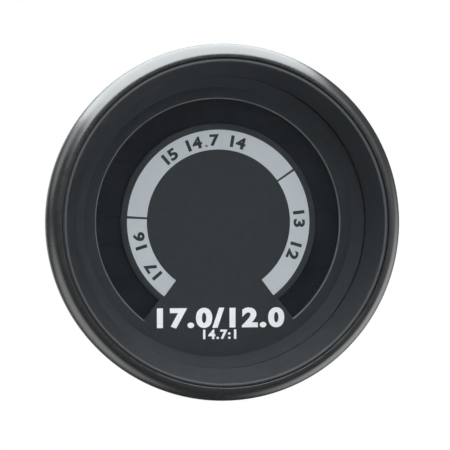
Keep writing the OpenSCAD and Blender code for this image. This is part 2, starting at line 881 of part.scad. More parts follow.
// Voltage regulator lying on the rear of the driver board: a flat body with a hole
// through it, a step along both lower edges, and three bent leads
module regulator() {
    lead_h = regulator_t / 2;
    color([0.15, 0.15, 0.16])
        rearwards(0, driver_back_y, regulator_z) {
            difference() {
                translate([-regulator_w / 2, -regulator_l / 2, 0])
                    cube([regulator_w, regulator_l, regulator_t]);
                translate([0, regulator_hole_z - regulator_l / 2, -over])
                    cylinder(h = regulator_t + 2 * over, d = regulator_hole_d, $fn = small_fn);
                for (side = [-1, 1])
                    translate([side * regulator_w / 2, 0, 0])
                        cube([2 * regulator_step, regulator_l + 2 * over, 2 * regulator_step],
                            center = true);
            }
            for (i = [-1:1]) {
                translate([i * pin_pitch, regulator_l / 2 + pin_pitch, 0])
                    board_lead(lead_h, crop_len);
                translate([i * pin_pitch - lead_d / 2, regulator_l / 2 - lead_d,
                    lead_h - lead_d / 2])
                    cube([lead_d, pin_pitch + 3 / 2 * lead_d, lead_d]);
            }
        }
}

// The leads of an axial part lying along x, bent down through the board and cut short
// to clear the parts on its other side
module axial_leads(body_h) {
    translate([-axial_pitch / 2, 0, body_h])
        rotate([0, 90, 0])
            cylinder(h = axial_pitch, d = lead_d, $fn = small_fn);
    for (s = [-1, 1])
        translate([s * axial_pitch / 2, 0, 0]) {
            board_lead(body_h, crop_len);
            translate([0, 0, body_h])
                sphere(d = lead_d, $fn = small_fn);
        }
}

// Resistor body: two round caps and a slimmer waist
module resistor_body() {
    r = resistor_d / 2;
    waist_r = r - resistor_waist;
    rotate([0, 90, 0])
        translate([0, 0, -resistor_l / 2])
            rotate_extrude($fn = small_fn)
                polygon([
                    [0, 0],
                    [waist_r, 0],
                    [r, resistor_waist],
                    [r, resistor_cap_l],
                    [waist_r, resistor_cap_l + resistor_waist],
                    [waist_r, resistor_l - resistor_cap_l - resistor_waist],
                    [r, resistor_l - resistor_cap_l],
                    [r, resistor_l - resistor_waist],
                    [waist_r, resistor_l],
                    [0, resistor_l]
                ]);
}

module resistors() {
    body_h = resistor_d / 2 + body_lift;
    color([0.75, 0.65, 0.45])
        for (z = resistor_z, side = [-1, 1])
            rearwards(0, driver_back_y, side * z) {
                translate([0, 0, body_h])
                    resistor_body();
                axial_leads(body_h);
            }
}

// Diode that guards the gauge against crossed leads
module diode() {
    body_h = diode_d / 2 + body_lift;
    color([0.12, 0.12, 0.12])
        rearwards(diode_x, driver_back_y, 0)
            rotate([0, 0, 90]) {
                translate([-diode_l / 2, 0, body_h])
                    rotate([0, 90, 0])
                        cylinder(h = diode_l, d = diode_d, $fn = small_fn);
                axial_leads(body_h);
            }
}

// Four hexagonal spacers between the boards, bored for the screws at both ends
module board_spacers() {
    color([0.75, 0.6, 0.3])
        facing(driver_y)
            for (p = spacer_places)
                translate([p[0], p[1], 0])
                    difference() {
                        hex_prism(spacer_af, spacer_len);
                        translate([0, 0, -over])
                            cylinder(h = spacer_len + 2 * over, r = spacer_bore_r, $fn = small_fn);
                    }
}

// A pan-headed screw standing on its head's flat side, with its shank running down
module board_screw() {
    dome = screw_head_h / 2;
    rotate_extrude($fn = small_fn)
        polygon(concat(
            [[0, -screw_len], [screw_d / 2, -screw_len], [screw_d / 2, 0], [screw_head_d / 2, 0]],
            arc_points(0, screw_head_h - dome, screw_head_d / 2, dome, 0, 90, round_steps)
        ));
}

// Four screws in front of the lamp board and four behind the driver board
module board_screws() {
    color([0.7, 0.71, 0.73])
        for (p = spacer_places) {
            translate([p[0], lamp_board_y, p[1]])
                rotate([90, 0, 0])
                    board_screw();
            translate([p[0], driver_back_y, p[1]])
                rotate([-90, 0, 0])
                    board_screw();
        }
}

// Moulded cup: flange for the bezel, straight barrel, drafted rear and closed back
module case() {
    rear_r = case_r - case_draft_w;
    inside_round = case_corner / 2;
    color([0.1, 0.1, 0.11])
        difference() {
            union() {
                turned(concat(
                    [
                        [bore_r, flange_front_y],
                        [stack_r, flange_front_y],
                        [stack_r, flange_back_y],
                        [case_r - neck_relief, flange_back_y],
                        [case_r - neck_relief, 0],
                        [case_r, 0],
                        [case_r, barrel_len]
                    ],
                    arc_points(rear_r - case_corner, case_back_y - case_corner, case_corner,
                        case_corner, 0, 90, round_steps),
                    [[0, case_back_y], [0, inside_y]],
                    arc_points(board_bore_r - inside_round, inside_y - inside_round,
                        inside_round, inside_round, 90, 0, round_steps),
                    [[board_bore_r, ledge_y], [bore_r, ledge_y]]
                ));
                facing(ledge_y)
                    linear_extrude(ledge_y - dial_y)
                        intersection() {
                            key_round(locating_rib_r);
                            circle(bore_r + case_wall / 2);
                        }
                for (side = [-1, 1])
                    rearwards(0, case_back_y - rear_wall / 2, side * stud_z)
                        cylinder(h = pad_h + rear_wall / 2, d = pad_d);
            }
            for (side = [-1, 1])
                rearwards(0, inside_y - over, side * stud_z)
                    cylinder(h = rear_wall + pad_h + 2 * over, r = stud_hole_r, $fn = small_fn);
            rearwards(outlet_x, inside_y - over, 0)
                cylinder(h = rear_wall + 2 * over, r = grommet_r, $fn = small_fn);
        }
}

// Rubber bush with two flanges that grip the rear wall
module lead_grommet() {
    flange_r = grommet_r + grommet_flange_w;
    color([0.07, 0.07, 0.07])
        translate([outlet_x, 0, 0])
            turned([
                [outlet_r, inside_y - grommet_flange_t],
                [flange_r - grommet_edge, inside_y - grommet_flange_t],
                [flange_r, inside_y - grommet_flange_t + grommet_edge],
                [flange_r, inside_y],
                [grommet_r, inside_y],
                [grommet_r, case_back_y],
                [flange_r, case_back_y],
                [flange_r, case_back_y + grommet_flange_t - grommet_edge],
                [flange_r - grommet_edge, case_back_y + grommet_flange_t],
                [outlet_r, case_back_y + grommet_flange_t]
            ]);
}

// Two studs with hexagonal heads against the inside of the rear wall
module mounting_studs() {
    head_y = inside_y - stud_head_t;
    shank = stud_end_y - head_y;
    color([0.72, 0.73, 0.75])
        for (side = [-1, 1])
            rearwards(0, head_y, side * stud_z) {
                hex_prism(stud_head_af, stud_head_t);
                cylinder(h = shank - stud_bevel, r = stud_r, $fn = small_fn);
                translate([0, 0, shank - stud_bevel])
                    cylinder(h = stud_bevel, r1 = stud_r, r2 = stud_r - stud_bevel,
                        $fn = small_fn);
            }
}

module stud_washers() {
    color([0.72, 0.73, 0.75])
        for (side = [-1, 1])
            rearwards(0, pad_y, side * stud_z)
                difference() {
                    cylinder(h = washer_t, d = washer_d);
                    translate([0, 0, -over])
                        cylinder(h = washer_t + 2 * over, r = stud_hole_r, $fn = small_fn);
                }
}

// Thin nuts that lock the studs to the case
module stud_nuts() {
    corner_r = stud_nut_af / 2 / cos(30);
    color([0.72, 0.73, 0.75])
        for (side = [-1, 1])
            rearwards(0, pad_y + washer_t, side * stud_z)
                difference() {
                    intersection() {
                        hex_prism(stud_nut_af, stud_nut_t);
                        cylinder(h = stud_nut_t, r1 = corner_r + stud_nut_t / 2,
                            r2 = stud_nut_af / 2, $fn = small_fn);
                    }
                    translate([0, 0, -over])
                        cylinder(h = stud_nut_t + 2 * over, r = stud_r + thread_gap,
                            $fn = small_fn);
                }
}

// One rounded corner of the strap, seen from the side, centred on its bend
module strap_bend() {
    intersection() {
        difference() {
            circle(bend_r + strap_t, $fn = small_fn);
            circle(bend_r, $fn = small_fn);
        }
        square(2 * bend_r + strap_t);
    }
}

// Side view of half of the bent strap: across is away from the axis, up is to the rear
module half_strap() {
    translate([leg_r, panel_gap])
        square([strap_t, strap_y - bend_r - panel_gap]);
    translate([0, strap_y])
        square([leg_r - bend_r, strap_t]);
    translate([leg_r - bend_r, strap_y - bend_r])
        strap_bend();
}

// U-shaped clamp strap that presses the panel against the bezel
module bracket() {
    foot_cut = 2 * foot_bevel * cos(45);
    color([0.66, 0.67, 0.69])
        difference() {
            rotate([0, -90, 0])
                linear_extrude(strap_w, center = true)
                    union() {
                        half_strap();
                        mirror([1, 0])
                            half_strap();
                    }
            for (side = [-1, 1])
                rearwards(0, strap_y - over, side * stud_z)
                    cylinder(h = strap_t + 2 * over, r = stud_hole_r, $fn = small_fn);
            for (side = [-1, 1], end = [-1, 1])
                translate([side * strap_w / 2, panel_gap, end * (leg_r + strap_t / 2)])
                    rotate([0, 0, 45])
                        cube([foot_cut, foot_cut, strap_t + 2 * over], center = true);
        }
}

// Split spring washers between the strap and the thumb nuts
module lock_washers() {
    color([0.6, 0.61, 0.63])
        for (side = [-1, 1])
            rearwards(0, strap_back_y, side * stud_z)
                difference() {
                    cylinder(h = lock_washer_t, d = lock_washer_d, $fn = small_fn);
                    translate([0, 0, -over])
                        cylinder(h = lock_washer_t + 2 * over, r = stud_hole_r, $fn = small_fn);
                    translate([0, -lock_split / 2, -over])
                        cube([lock_washer_d, lock_split, lock_washer_t + 2 * over]);
                }
}

// Thumb nut: plain collar, then a fluted grip with bevelled edges
module thumb_nut() {
    grip_r = nut_d / 2;
    difference() {
        rotate_extrude($fn = small_fn)
            polygon([
                [0, 0],
                [nut_collar_d / 2, 0],
                [nut_collar_d / 2, nut_collar_h],
                [grip_r - nut_bevel, nut_collar_h],
                [grip_r, nut_collar_h + nut_bevel],
                [grip_r, nut_h - nut_bevel],
                [grip_r - nut_bevel, nut_h],
                [0, nut_h]
            ]);
        translate([0, 0, -over])
            cylinder(h = nut_h + 2 * over, r = stud_r + thread_gap, $fn = small_fn);
        for (i = [0:nut_flutes - 1])
            rotate([0, 0, 360 * i / nut_flutes])
                translate([grip_r, 0, nut_collar_h / 2])
                    cylinder(h = nut_h, r = flute_r, $fn = small_fn);
    }
}

module nut_upper() {
    color([0.78, 0.66, 0.36])
        rearwards(0, lock_back_y, stud_z)
            thumb_nut();
}

module nut_lower() {
    color([0.78, 0.66, 0.36])
        rearwards(0, lock_back_y, -stud_z)
            thumb_nut();
}

bezel();
visor_ring();
lens();
lens_gasket();
reflector_ring();
dial_plate();
scale_band();
smoked_window();
lamp_baffle();
lean_lamps();
stoich_lamps();
rich_lamps();
lamp_board();
driver_board();
header_pins();
header_sockets();
driver_chips();
capacitors();
trimmer();
regulator();
resistors();
diode();
board_spacers();
board_screws();
case();
lead_grommet();
mounting_studs();
stud_washers();
stud_nuts();
bracket();
lock_washers();
nut_upper();
nut_lower();
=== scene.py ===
# %% [markdown]
# # Dressing a round panel gauge
# The gauge arrives as a imported model: exact, but plain. Each step below takes one piece
# of the real instrument, says what it is, and gives it the surface that the eye expects:
# the roll of the bezel, the ink on the dial, the threads of the studs. The imported model
# is loaded first. Nothing made here may stand outside it.

# %% Load the imported gauge
import math
import bmesh
import bpy
from mathutils import Matrix, Vector


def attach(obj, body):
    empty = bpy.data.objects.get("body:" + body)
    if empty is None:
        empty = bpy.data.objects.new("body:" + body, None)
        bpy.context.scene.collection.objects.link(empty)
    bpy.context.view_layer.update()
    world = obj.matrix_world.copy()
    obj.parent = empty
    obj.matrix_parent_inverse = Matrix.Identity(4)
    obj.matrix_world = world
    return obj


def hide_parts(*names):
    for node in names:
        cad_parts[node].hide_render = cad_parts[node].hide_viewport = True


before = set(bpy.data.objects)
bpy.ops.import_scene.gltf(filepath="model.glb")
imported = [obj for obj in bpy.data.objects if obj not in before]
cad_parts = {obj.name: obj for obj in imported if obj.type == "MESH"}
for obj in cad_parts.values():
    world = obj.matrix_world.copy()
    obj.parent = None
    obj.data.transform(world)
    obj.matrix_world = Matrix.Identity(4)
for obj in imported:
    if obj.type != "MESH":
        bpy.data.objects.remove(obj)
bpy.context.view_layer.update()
MM = 0.001

# %% [markdown]
# ## Two ways to shape a piece
# Most of a gauge is round: a lathe, a spinning tool or a round mould made it. So the
# main helper is a lathe too. It takes half of a section as corners, each a radius and a
# depth in millimetres, rounds the corners that are named, and swings the outline once
# round the axis. Depth runs along +Y, from the panel to the rear, and is negative in
# front of the panel, where the viewer stands.

# %% The lathe
TURN_STEPS = 240
FINE_STEPS = 300
ROUND_SEGMENTS = 5
MERGE_WITHIN = 0.001


def section(bm, corners, rounds=(), closed=True, segments=ROUND_SEGMENTS):
    """A section's outline, open along the axis, with the corners named as (corner, length) rounded."""
    points = [bm.verts.new((radius, depth, 0)) for radius, depth in corners]
    pairs = zip(points, points[1:] + points[:1]) if closed else zip(points, points[1:])
    for a, b in pairs:
        if a.co.x or b.co.x:
            bm.edges.new((a, b))
    for corner, length in rounds:
        bmesh.ops.bevel(bm, geom=[points[corner]], offset=length, offset_type="OFFSET",
                        segments=segments, profile=0.5, affect="VERTICES", material=-1)
    return bm


def turned(corners, rounds=(), steps=TURN_STEPS, segments=ROUND_SEGMENTS):
    """A full turn of a section. Where it meets the axis, the pole is merged."""
    bm = section(bmesh.new(), corners, rounds, segments=segments)
    bmesh.ops.spin(bm, geom=bm.verts[:] + bm.edges[:], cent=(0, 0, 0), axis=(0, 1, 0), dvec=(0, 0, 0),
                   angle=math.tau, steps=steps, use_merge=True, use_duplicate=False)
    bmesh.ops.remove_doubles(bm, verts=bm.verts, dist=MERGE_WITHIN)
    bmesh.ops.recalc_face_normals(bm, faces=bm.faces)
    return bm


def swept(centre, reach, start, end, steps):
    """Points along part of an ellipse of a section, for a curve that isn't a plain rounding."""
    turns = [math.radians(start + (end - start) * i / steps) for i in range(steps + 1)]
    return [(centre[0] + reach[0] * math.cos(t), centre[1] + reach[1] * math.sin(t)) for t in turns]


print("a full turn has", TURN_STEPS, "steps")

# %% [markdown]
# The second helper makes part of a turn, with its two ends closed. Directions on the
# dial are in degrees, counterclockwise from the viewer's right. Three small helpers move
# a mesh, swing it about an axis and pull a flat one out to a length.

# %% Move, swing and pull
def shifted(bm, x=0, y=0, z=0):
    """Moves a whole mesh and hands it back."""
    bmesh.ops.translate(bm, vec=(x, y, z), verts=bm.verts)
    return bm


def swung(bm, degrees, axis):
    """Swings a whole mesh about an axis through the origin and hands it back."""
    swing = Matrix.Rotation(math.radians(degrees), 3, axis)
    bmesh.ops.rotate(bm, cent=(0, 0, 0), matrix=swing, verts=bm.verts)
    return bm


def pulled_along(bm, length):
    """Gives a flat mesh a length along the gauge's axis."""
    far = bmesh.ops.extrude_face_region(bm, geom=bm.faces[:], use_keep_orig=True)["geom"]
    far_verts = [v for v in far if isinstance(v, bmesh.types.BMVert)]
    bmesh.ops.translate(bm, vec=(0, length, 0), verts=far_verts)
    bmesh.ops.recalc_face_normals(bm, faces=bm.faces)
    return bm


# %% Part of a turn
def arc_strip(corners, start, end, steps, rounds=()):
    """Swings a section from one direction of the dial to another and closes both ends."""
    bm = swung(section(bmesh.new(), corners, rounds), -start, "Y")
    bmesh.ops.spin(bm, geom=bm.verts[:] + bm.edges[:], cent=(0, 0, 0), axis=(0, 1, 0), dvec=(0, 0, 0),
                   angle=-math.radians(end - start), steps=steps, use_merge=False, use_duplicate=False)
    bmesh.ops.holes_fill(bm, edges=[e for e in bm.edges if e.is_boundary or e.is_wire], sides=0)
    bmesh.ops.recalc_face_normals(bm, faces=bm.faces)
    return bm


# %% Keep a finished piece
SHARP_FROM = math.radians(32)


def keep(bm, name, body, finish, replaced=(), sharp_from=SHARP_FROM):
    """Turns a mesh in millimetres into a piece of the scene that rides on its body."""
    bmesh.ops.scale(bm, vec=(MM, MM, MM), verts=bm.verts)
    for face in bm.faces:
        face.smooth = True
    for edge in bm.edges:
        edge.smooth = len(edge.link_faces) == 2 and edge.calc_face_angle(0) < sharp_from
    mesh = bpy.data.meshes.new(name)
    bm.to_mesh(mesh)
    bm.free()
    piece = bpy.data.objects.new(name, mesh)
    bpy.context.scene.collection.objects.link(piece)
    mesh.materials.append(finish)
    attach(piece, body)
    if replaced:
        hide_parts(*replaced)
    piece.modifiers.new("flats stay flat", "WEIGHTED_NORMAL").keep_sharp = True
    print(name, "has", len(mesh.polygons), "faces")
    return piece


# %% [markdown]
# ## Finishes
# Every finish is a Principled shader whose colour, roughness and bump come from noise
# on Object coordinates, so the grain stays on the piece whichever way the camera goes.
# Three grains are enough: broad mottling for the colour, a finer one for the gloss, and
# the finest for the bump. What differs from one finish to the next is how strong each
# of them is. Stretching the coordinates along one direction gives a brushed or a turned
# look.

# %% The common ground of all the finishes
COAT_ROUGHNESS = 0.1
NOISE_LOW, NOISE_HIGH = 0.3, 0.7
GLOSS_FINER = 2.3
SMOOTHEST = 0.02


def blank_material(name):
    """A new material, and its nodes, links and main shader."""
    material = bpy.data.materials.new(name)
    material.use_nodes = True
    tree = material.node_tree
    return material, tree.nodes, tree.links, tree.nodes["Principled BSDF"]


def finish_of(name, colour, roughness, metallic=0.0, mottle=0.12, mottle_scale=180, gloss_swing=0.06,
              grain_scale=2600, grain=0.08, grain_height=0.00003, stretch=(1, 1, 1), specular=0.5, coat=0.0,
              ior=1.5):
    """A finish with broad mottling, a slow change of gloss and a fine bump. Scales are in grains a metre."""
    material, nodes, links, shader = blank_material(name)
    shader.inputs["Metallic"].default_value = metallic
    shader.inputs["Specular IOR Level"].default_value = specular
    shader.inputs["IOR"].default_value = ior
    shader.inputs["Coat Weight"].default_value = coat
    shader.inputs["Coat Roughness"].default_value = COAT_ROUGHNESS
    place = nodes.new("ShaderNodeTexCoord")
    turn = nodes.new("ShaderNodeMapping")
    turn.inputs["Scale"].default_value = stretch
    links.new(place.outputs["Object"], turn.inputs["Vector"])

    def noise(scale, detail):
        texture = nodes.new("ShaderNodeTexNoise")
        texture.inputs["Scale"].default_value = scale
        texture.inputs["Detail"].default_value = detail
        links.new(turn.outputs["Vector"], texture.inputs["Vector"])
        return texture.outputs["Fac"]

    def spread(source, low, high):
        reach = nodes.new("ShaderNodeMapRange")
        reach.inputs["From Min"].default_value = NOISE_LOW
        reach.inputs["From Max"].default_value = NOISE_HIGH
        reach.inputs["To Min"].default_value = low
        reach.inputs["To Max"].default_value = high
        links.new(source, reach.inputs["Value"])
        return reach.outputs["Result"]

    broad = noise(mottle_scale, 3)
    tint = nodes.new("ShaderNodeMix")
    tint.data_type = "RGBA"
    tint.inputs["A"].default_value = [c * (1 - mottle) for c in colour] + [1]
    tint.inputs["B"].default_value = [min(c * (1 + mottle), 1) for c in colour] + [1]
    links.new(broad, tint.inputs["Factor"])
    links.new(tint.outputs["Result"], shader.inputs["Base Color"])
    finer = noise(mottle_scale * GLOSS_FINER, 2)
    gloss = spread(finer, max(roughness - gloss_swing, SMOOTHEST), min(roughness + gloss_swing, 1))
    links.new(gloss, shader.inputs["Roughness"])
    bump = nodes.new("ShaderNodeBump")
    bump.inputs["Strength"].default_value = grain
    bump.inputs["Distance"].default_value = grain_height
    links.new(noise(grain_scale, 4), bump.inputs["Height"])
    links.new(bump.outputs["Normal"], shader.inputs["Normal"])
    return material


# %% [markdown]
# The bezel is rolled steel with a baked satin enamel: almost black, a little blue, and
# smooth enough to carry one long highlight. The two trim rings and the dial are matte.
# The dial's paint has a fine tooth, like very fine sandpaper, that keeps it dark from
# every side. Two lighter greys are for edges: a painted highlight on the visor's rim
# bead, and the slot's chamfer, metal cut after it was painted, which also carries a
# painted highlight.

# %% Paints and blacks of the face
satin_enamel = finish_of("satin black enamel", (0.010, 0.012, 0.013), 0.28, mottle=0.10, gloss_swing=0.025,
                         grain_scale=5200, grain=0.10, grain_height=0.000012, ior=3.0)
trim_black = finish_of("matte black trim", (0.0235, 0.0265, 0.0295), 0.55, mottle=0.08, gloss_swing=0.05,
                       grain_scale=4200, grain=0.22, grain_height=0.00002, specular=0.28)
cone_black = finish_of("inner cone black", (0.034, 0.038, 0.042), 0.55, mottle=0.08, gloss_swing=0.05,
                       grain_scale=4200, grain=0.22, grain_height=0.00002, specular=0.3)
dial_paint = finish_of("dial black", (0.0165, 0.0205, 0.023), 0.68, mottle=0.07, mottle_scale=420,
                       gloss_swing=0.05, grain_scale=7000, grain=0.35, grain_height=0.00002, specular=0.35)
# A lighter grey for the visor's rim bead: a painted highlight for its thin ring of light.
bead_painted_highlight = finish_of("bead painted highlight", (0.055, 0.060, 0.064), 0.45, mottle=0.15, mottle_scale=700,
                       gloss_swing=0.06, grain_scale=6000, grain=0.12, specular=0.4)
# A lighter grey for the slot's chamfer: partly bare cut metal, partly a painted highlight for the bright
# hairline.
cut_edge_and_painted_highlight = finish_of("bare cut edge and painted highlight", (0.17, 0.18, 0.19), 0.5, mottle=0.2, mottle_scale=900, gloss_swing=0.08,
                     grain_scale=8000, grain=0.1)
silver_print = finish_of("satin silver print", (0.475, 0.50, 0.52), 0.42, mottle=0.035, mottle_scale=500,
                         gloss_swing=0.05, grain_scale=7500, grain=0.12, grain_height=0.00001)
white_ink = finish_of("white ink", (0.93, 0.93, 0.93), 0.6, mottle=0.02, grain_scale=6000, grain=0.1)
black_ink = finish_of("black ink", (0.004, 0.0045, 0.005), 0.55, mottle=0.1, grain_scale=6000, grain=0.1)
print("finishes so far:", len(bpy.data.materials))

# %% [markdown]
# ## The bezel
# On the real gauge this ring is one strip of sheet steel, spun over a former: it comes
# up from the panel, rolls over in a tight nose and dives back down inside as a short
# lip. The section is drawn the same way, from the lip over the nose and down the side.
# The nose is a quarter of a tall ellipse. The side bows in from there towards the panel,
# so the widest line sits a little over a third of the way back, and the highlight runs
# along the roll in front of it.

# %% Sizes of the face, in millimetres
FRONT_Y = -9.5
WIDEST_Y = -5.8
BEZEL_R = 28.6
SEAT_R = 28.0
ROLL_R = 26.6
LIP_R = 26.25
LIP_END_Y = -8.3
SHEET_T = 0.7
CURL_R = 26.0
LIP_EASE, REAR_EASE = 0.05, 0.4
NOSE_STEPS, INNER_NOSE_STEPS, SIDE_STEPS = 20, 12, 10

# %% Turn the bezel
def side_line(inset, end_y):
    """The bezel's side, from its widest line back to the panel, at a depth below the surface."""
    shares = [i / SIDE_STEPS for i in range(SIDE_STEPS + 1)]
    return [(BEZEL_R - inset - (BEZEL_R - SEAT_R) * s * s, WIDEST_Y + s * (end_y - WIDEST_Y)) for s in shares]


nose = swept((ROLL_R, WIDEST_Y), (BEZEL_R - ROLL_R, WIDEST_Y - FRONT_Y), -90, 0, NOSE_STEPS)
inner_reach = (BEZEL_R - LIP_R - 2 * SHEET_T, WIDEST_Y - FRONT_Y - SHEET_T)
inner_nose = swept((LIP_R + SHEET_T, WIDEST_Y), inner_reach, 0, -90, INNER_NOSE_STEPS)
bezel_line = (
    [(LIP_R, LIP_END_Y), (LIP_R, FRONT_Y)] + nose + side_line(0, 0)[1:]
    + [(CURL_R, 0), (CURL_R, -SHEET_T)] + side_line(SHEET_T, -SHEET_T)[::-1]
    + inner_nose[1:] + [(LIP_R + SHEET_T, LIP_END_Y)]
)
lip_corner = 1
rear_corner = lip_corner + len(nose) + SIDE_STEPS
keep(turned(bezel_line, rounds=[(lip_corner, LIP_EASE), (rear_corner, REAR_EASE)], steps=FINE_STEPS),
     "bezel_shell", "root", satin_enamel, ["bezel"])

# %% [markdown]
# ## The visor and the reflector
# Inside the lip lies a moulded black cone, the visor, that shades the lens. Its rim is a
# fine raised bead with a dark groove outside it: a thin ring of light beside a line of
# shadow, which is how the eye finds the joint between two parts. The faces of the bead
# get a lighter grey as a second material, a painted highlight for that thin ring of light.
# Below the lens a second cone leads the eye down to the dial. Both are turned from their sections.

# %% Turn the visor
GROOVE_R = 25.95
RIM_R = 25.55
STACK_R = 27.2
THROAT_R = 23.6
LENS_FRONT_Y = -4.1
LENS_BACK_Y = -2.6
GROOVE_FLOOR_Y = -9.25
SHOULDER_Y = -8.2
THROAT_LAND, THROAT_EASE = 0.3, 0.12
LIP_GAP = 0.1
BEAD_STEPS = 12
bead_r = (GROOVE_R - RIM_R) / 2
visor_line = (
    swept((RIM_R + bead_r, FRONT_Y + bead_r), (bead_r, bead_r), 180, 360, BEAD_STEPS)
    + [(GROOVE_R, GROOVE_FLOOR_Y), (LIP_R - LIP_GAP, GROOVE_FLOOR_Y), (LIP_R - LIP_GAP, SHOULDER_Y)]
    + [(STACK_R, SHOULDER_Y), (STACK_R, LENS_FRONT_Y), (THROAT_R, LENS_FRONT_Y)]
    + [(THROAT_R, LENS_FRONT_Y - THROAT_LAND)]
)
visor_mesh = turned(visor_line, rounds=[(len(visor_line) - 1, THROAT_EASE)], steps=FINE_STEPS)
# The bead's faces take the second material, a lighter grey that paints the highlight on the rim.
for face in visor_mesh.faces:
    middle = face.calc_center_median()
    if RIM_R < math.hypot(middle.x, middle.z) < GROOVE_R and middle.y < FRONT_Y + bead_r:
        face.material_index = 1
visor = keep(visor_mesh, "visor_cone", "root", trim_black, ["visor_ring"])
visor.data.materials.append(bead_painted_highlight)

# %% Turn the reflector
INNER_R = 24.0
FOOT_R = 21.9
DIAL_Y = 0.1
CONE_INSET, CONE_EASE = 0.05, 0.1
reflector_line = [
    (THROAT_R - CONE_INSET, LENS_BACK_Y), (INNER_R, LENS_BACK_Y), (INNER_R, DIAL_Y), (FOOT_R, DIAL_Y)
]
keep(turned(reflector_line, rounds=[(0, CONE_EASE)], steps=FINE_STEPS),
     "reflector_cone", "root", cone_black, ["reflector_ring"])

# %% [markdown]
# ## The dial
# The dial is a black plate with a long curved slot for the lamps. It starts as a set of
# flat rings, swung round in half-degree steps so that the slot's ends fall on a step.
# The rings' faces inside the slot are taken out, the sheet gets its thickness, and the
# slot's outer edge is chamfered: the bright hairline seen round the window is that chamfer,
# so its faces get a lighter grey as a second material, partly bare cut metal and partly a painted highlight.

# %% Cut the dial
HUB_R = 6.0
BAND_IN_R, BAND_OUT_R = 11.8, 15.0
SLOT_IN_R, SLOT_OUT_R = 16.0, 20.05
SLOT_FROM, SLOT_TO = 232.5, -52.0
SLOT_BORDER = 0.9
SLOT_EASE, SLOT_CHAMFER = 0.06, 0.15
DIAL_T = 0.8
DIAL_SHARP_FROM = math.radians(20)
HALF_DEGREES = 720
CLOSE = 0.01
STEEP = 1.0


def in_slot(face):
    """True for a face of the sheet that the lamp slot takes out."""
    middle = face.calc_center_median()
    radius = math.hypot(middle.x, middle.z)
    direction = math.degrees(math.atan2(middle.z, middle.x))
    turn_past = (direction - SLOT_TO) % 360
    return SLOT_IN_R < radius < SLOT_OUT_R and turn_past < SLOT_FROM - SLOT_TO


def cut_dial():
    """The dial's plate as rings of faces, with the slot left out."""
    radii = [0, HUB_R, BAND_IN_R, BAND_OUT_R, SLOT_IN_R, SLOT_OUT_R, SLOT_OUT_R + SLOT_BORDER, INNER_R]
    bm = section(bmesh.new(), [(radius, DIAL_Y) for radius in radii], closed=False)
    bmesh.ops.spin(bm, geom=bm.verts[:] + bm.edges[:], cent=(0, 0, 0), axis=(0, 1, 0), dvec=(0, 0, 0),
                   angle=math.tau, steps=HALF_DEGREES, use_merge=True, use_duplicate=False)
    bmesh.ops.remove_doubles(bm, verts=bm.verts, dist=MERGE_WITHIN)
    bmesh.ops.delete(bm, geom=[f for f in bm.faces if in_slot(f)], context="FACES")
    return pulled_along(bm, DIAL_T)


def rim_edges(bm, radius, depth):
    """The edges that run round the axis at one radius and one depth and lie on a wall."""
    def near(vert):
        return abs(math.hypot(vert.co.x, vert.co.z) - radius) < CLOSE and abs(vert.co.y - depth) < CLOSE
    return [e for e in bm.edges if all(near(v) for v in e.verts) and e.calc_face_angle(0) > STEEP]


dial_mesh = cut_dial()
bmesh.ops.bevel(dial_mesh, geom=rim_edges(dial_mesh, SLOT_IN_R, DIAL_Y), offset=SLOT_EASE,
                offset_type="OFFSET", segments=3, profile=0.5, affect="EDGES", material=-1)
chamfer = bmesh.ops.bevel(dial_mesh, geom=rim_edges(dial_mesh, SLOT_OUT_R, DIAL_Y), offset=SLOT_CHAMFER,
                          offset_type="OFFSET", segments=1, profile=0.5, affect="EDGES", material=-1)["faces"]
# The chamfer's faces take the lighter grey: bare cut metal and a painted highlight.
for face in chamfer:
    face.material_index = 1
dial = keep(dial_mesh, "dial_face", "root", dial_paint, ["dial_plate"], DIAL_SHARP_FROM)
dial.data.materials.append(cut_edge_and_painted_highlight)

# %% [markdown]
# ## The silver scale
# The scale is printed in three zones with hairlines of black between them: lean on the
# left, the middle zone over the top, rich on the right. Each zone is a thin strip swung
# between two directions of the dial.

# %% Lay the three zones of the scale
BAND_Y = 0.04
ZONES = {"lean": (233.4, 177.0), "middle": (177.0, 34.5), "rich": (34.5, -53.0)}
HAIRLINE = 0.78


def scale_ring(front_y, start, end, steps):
    """Part of the scale's ring, from the front given down to the dial."""
    line = [(BAND_IN_R, front_y), (BAND_OUT_R, front_y), (BAND_OUT_R, DIAL_Y), (BAND_IN_R, DIAL_Y)]
    return arc_strip(line, start, end, steps)


for zone, (zone_start, zone_end) in ZONES.items():
    silver_from = zone_start - (0 if zone == "lean" else HAIRLINE)
    silver_to = zone_end + (0 if zone == "rich" else HAIRLINE)
    strip = scale_ring(BAND_Y, silver_from, silver_to, int(silver_from - silver_to))
    keep(strip, "scale_" + zone, "root", silver_print, ["scale_band"])

# %% Ink the lines between the zones
def joined(parts):
    """Several meshes as one."""
    whole = bmesh.new()
    for bm in parts:
        loose = bpy.data.meshes.new("loose")
        bm.to_mesh(loose)
        bm.free()
        whole.from_mesh(loose)
        bpy.data.meshes.remove(loose)
    return whole


LINE_Y = 0.07
LINE_HALF = 0.95 * HAIRLINE
LINE_STEPS = 4
borders = [ZONES["lean"][1], ZONES["middle"][1]]
keep(joined([scale_ring(LINE_Y, border + LINE_HALF, border - LINE_HALF, LINE_STEPS) for border in borders]),
     "zone_lines", "root", black_ink)

# %% [markdown]
# ## Figures on the dial
# The dial is printed with plain numbers only. Blender's own font gives the outlines; a
# little offset makes them bolder, and a hair of thickness stands for the ink. Each
# figure is made a mesh first and then set in its place, upright on the dial or turned
# round the scale with its top outwards.

# %% Print figures
INK_T = 0.02
INK_LIFT = 0.005
OUTLINE_STEPS = 8
OUTLINE_MERGE = 1e-5


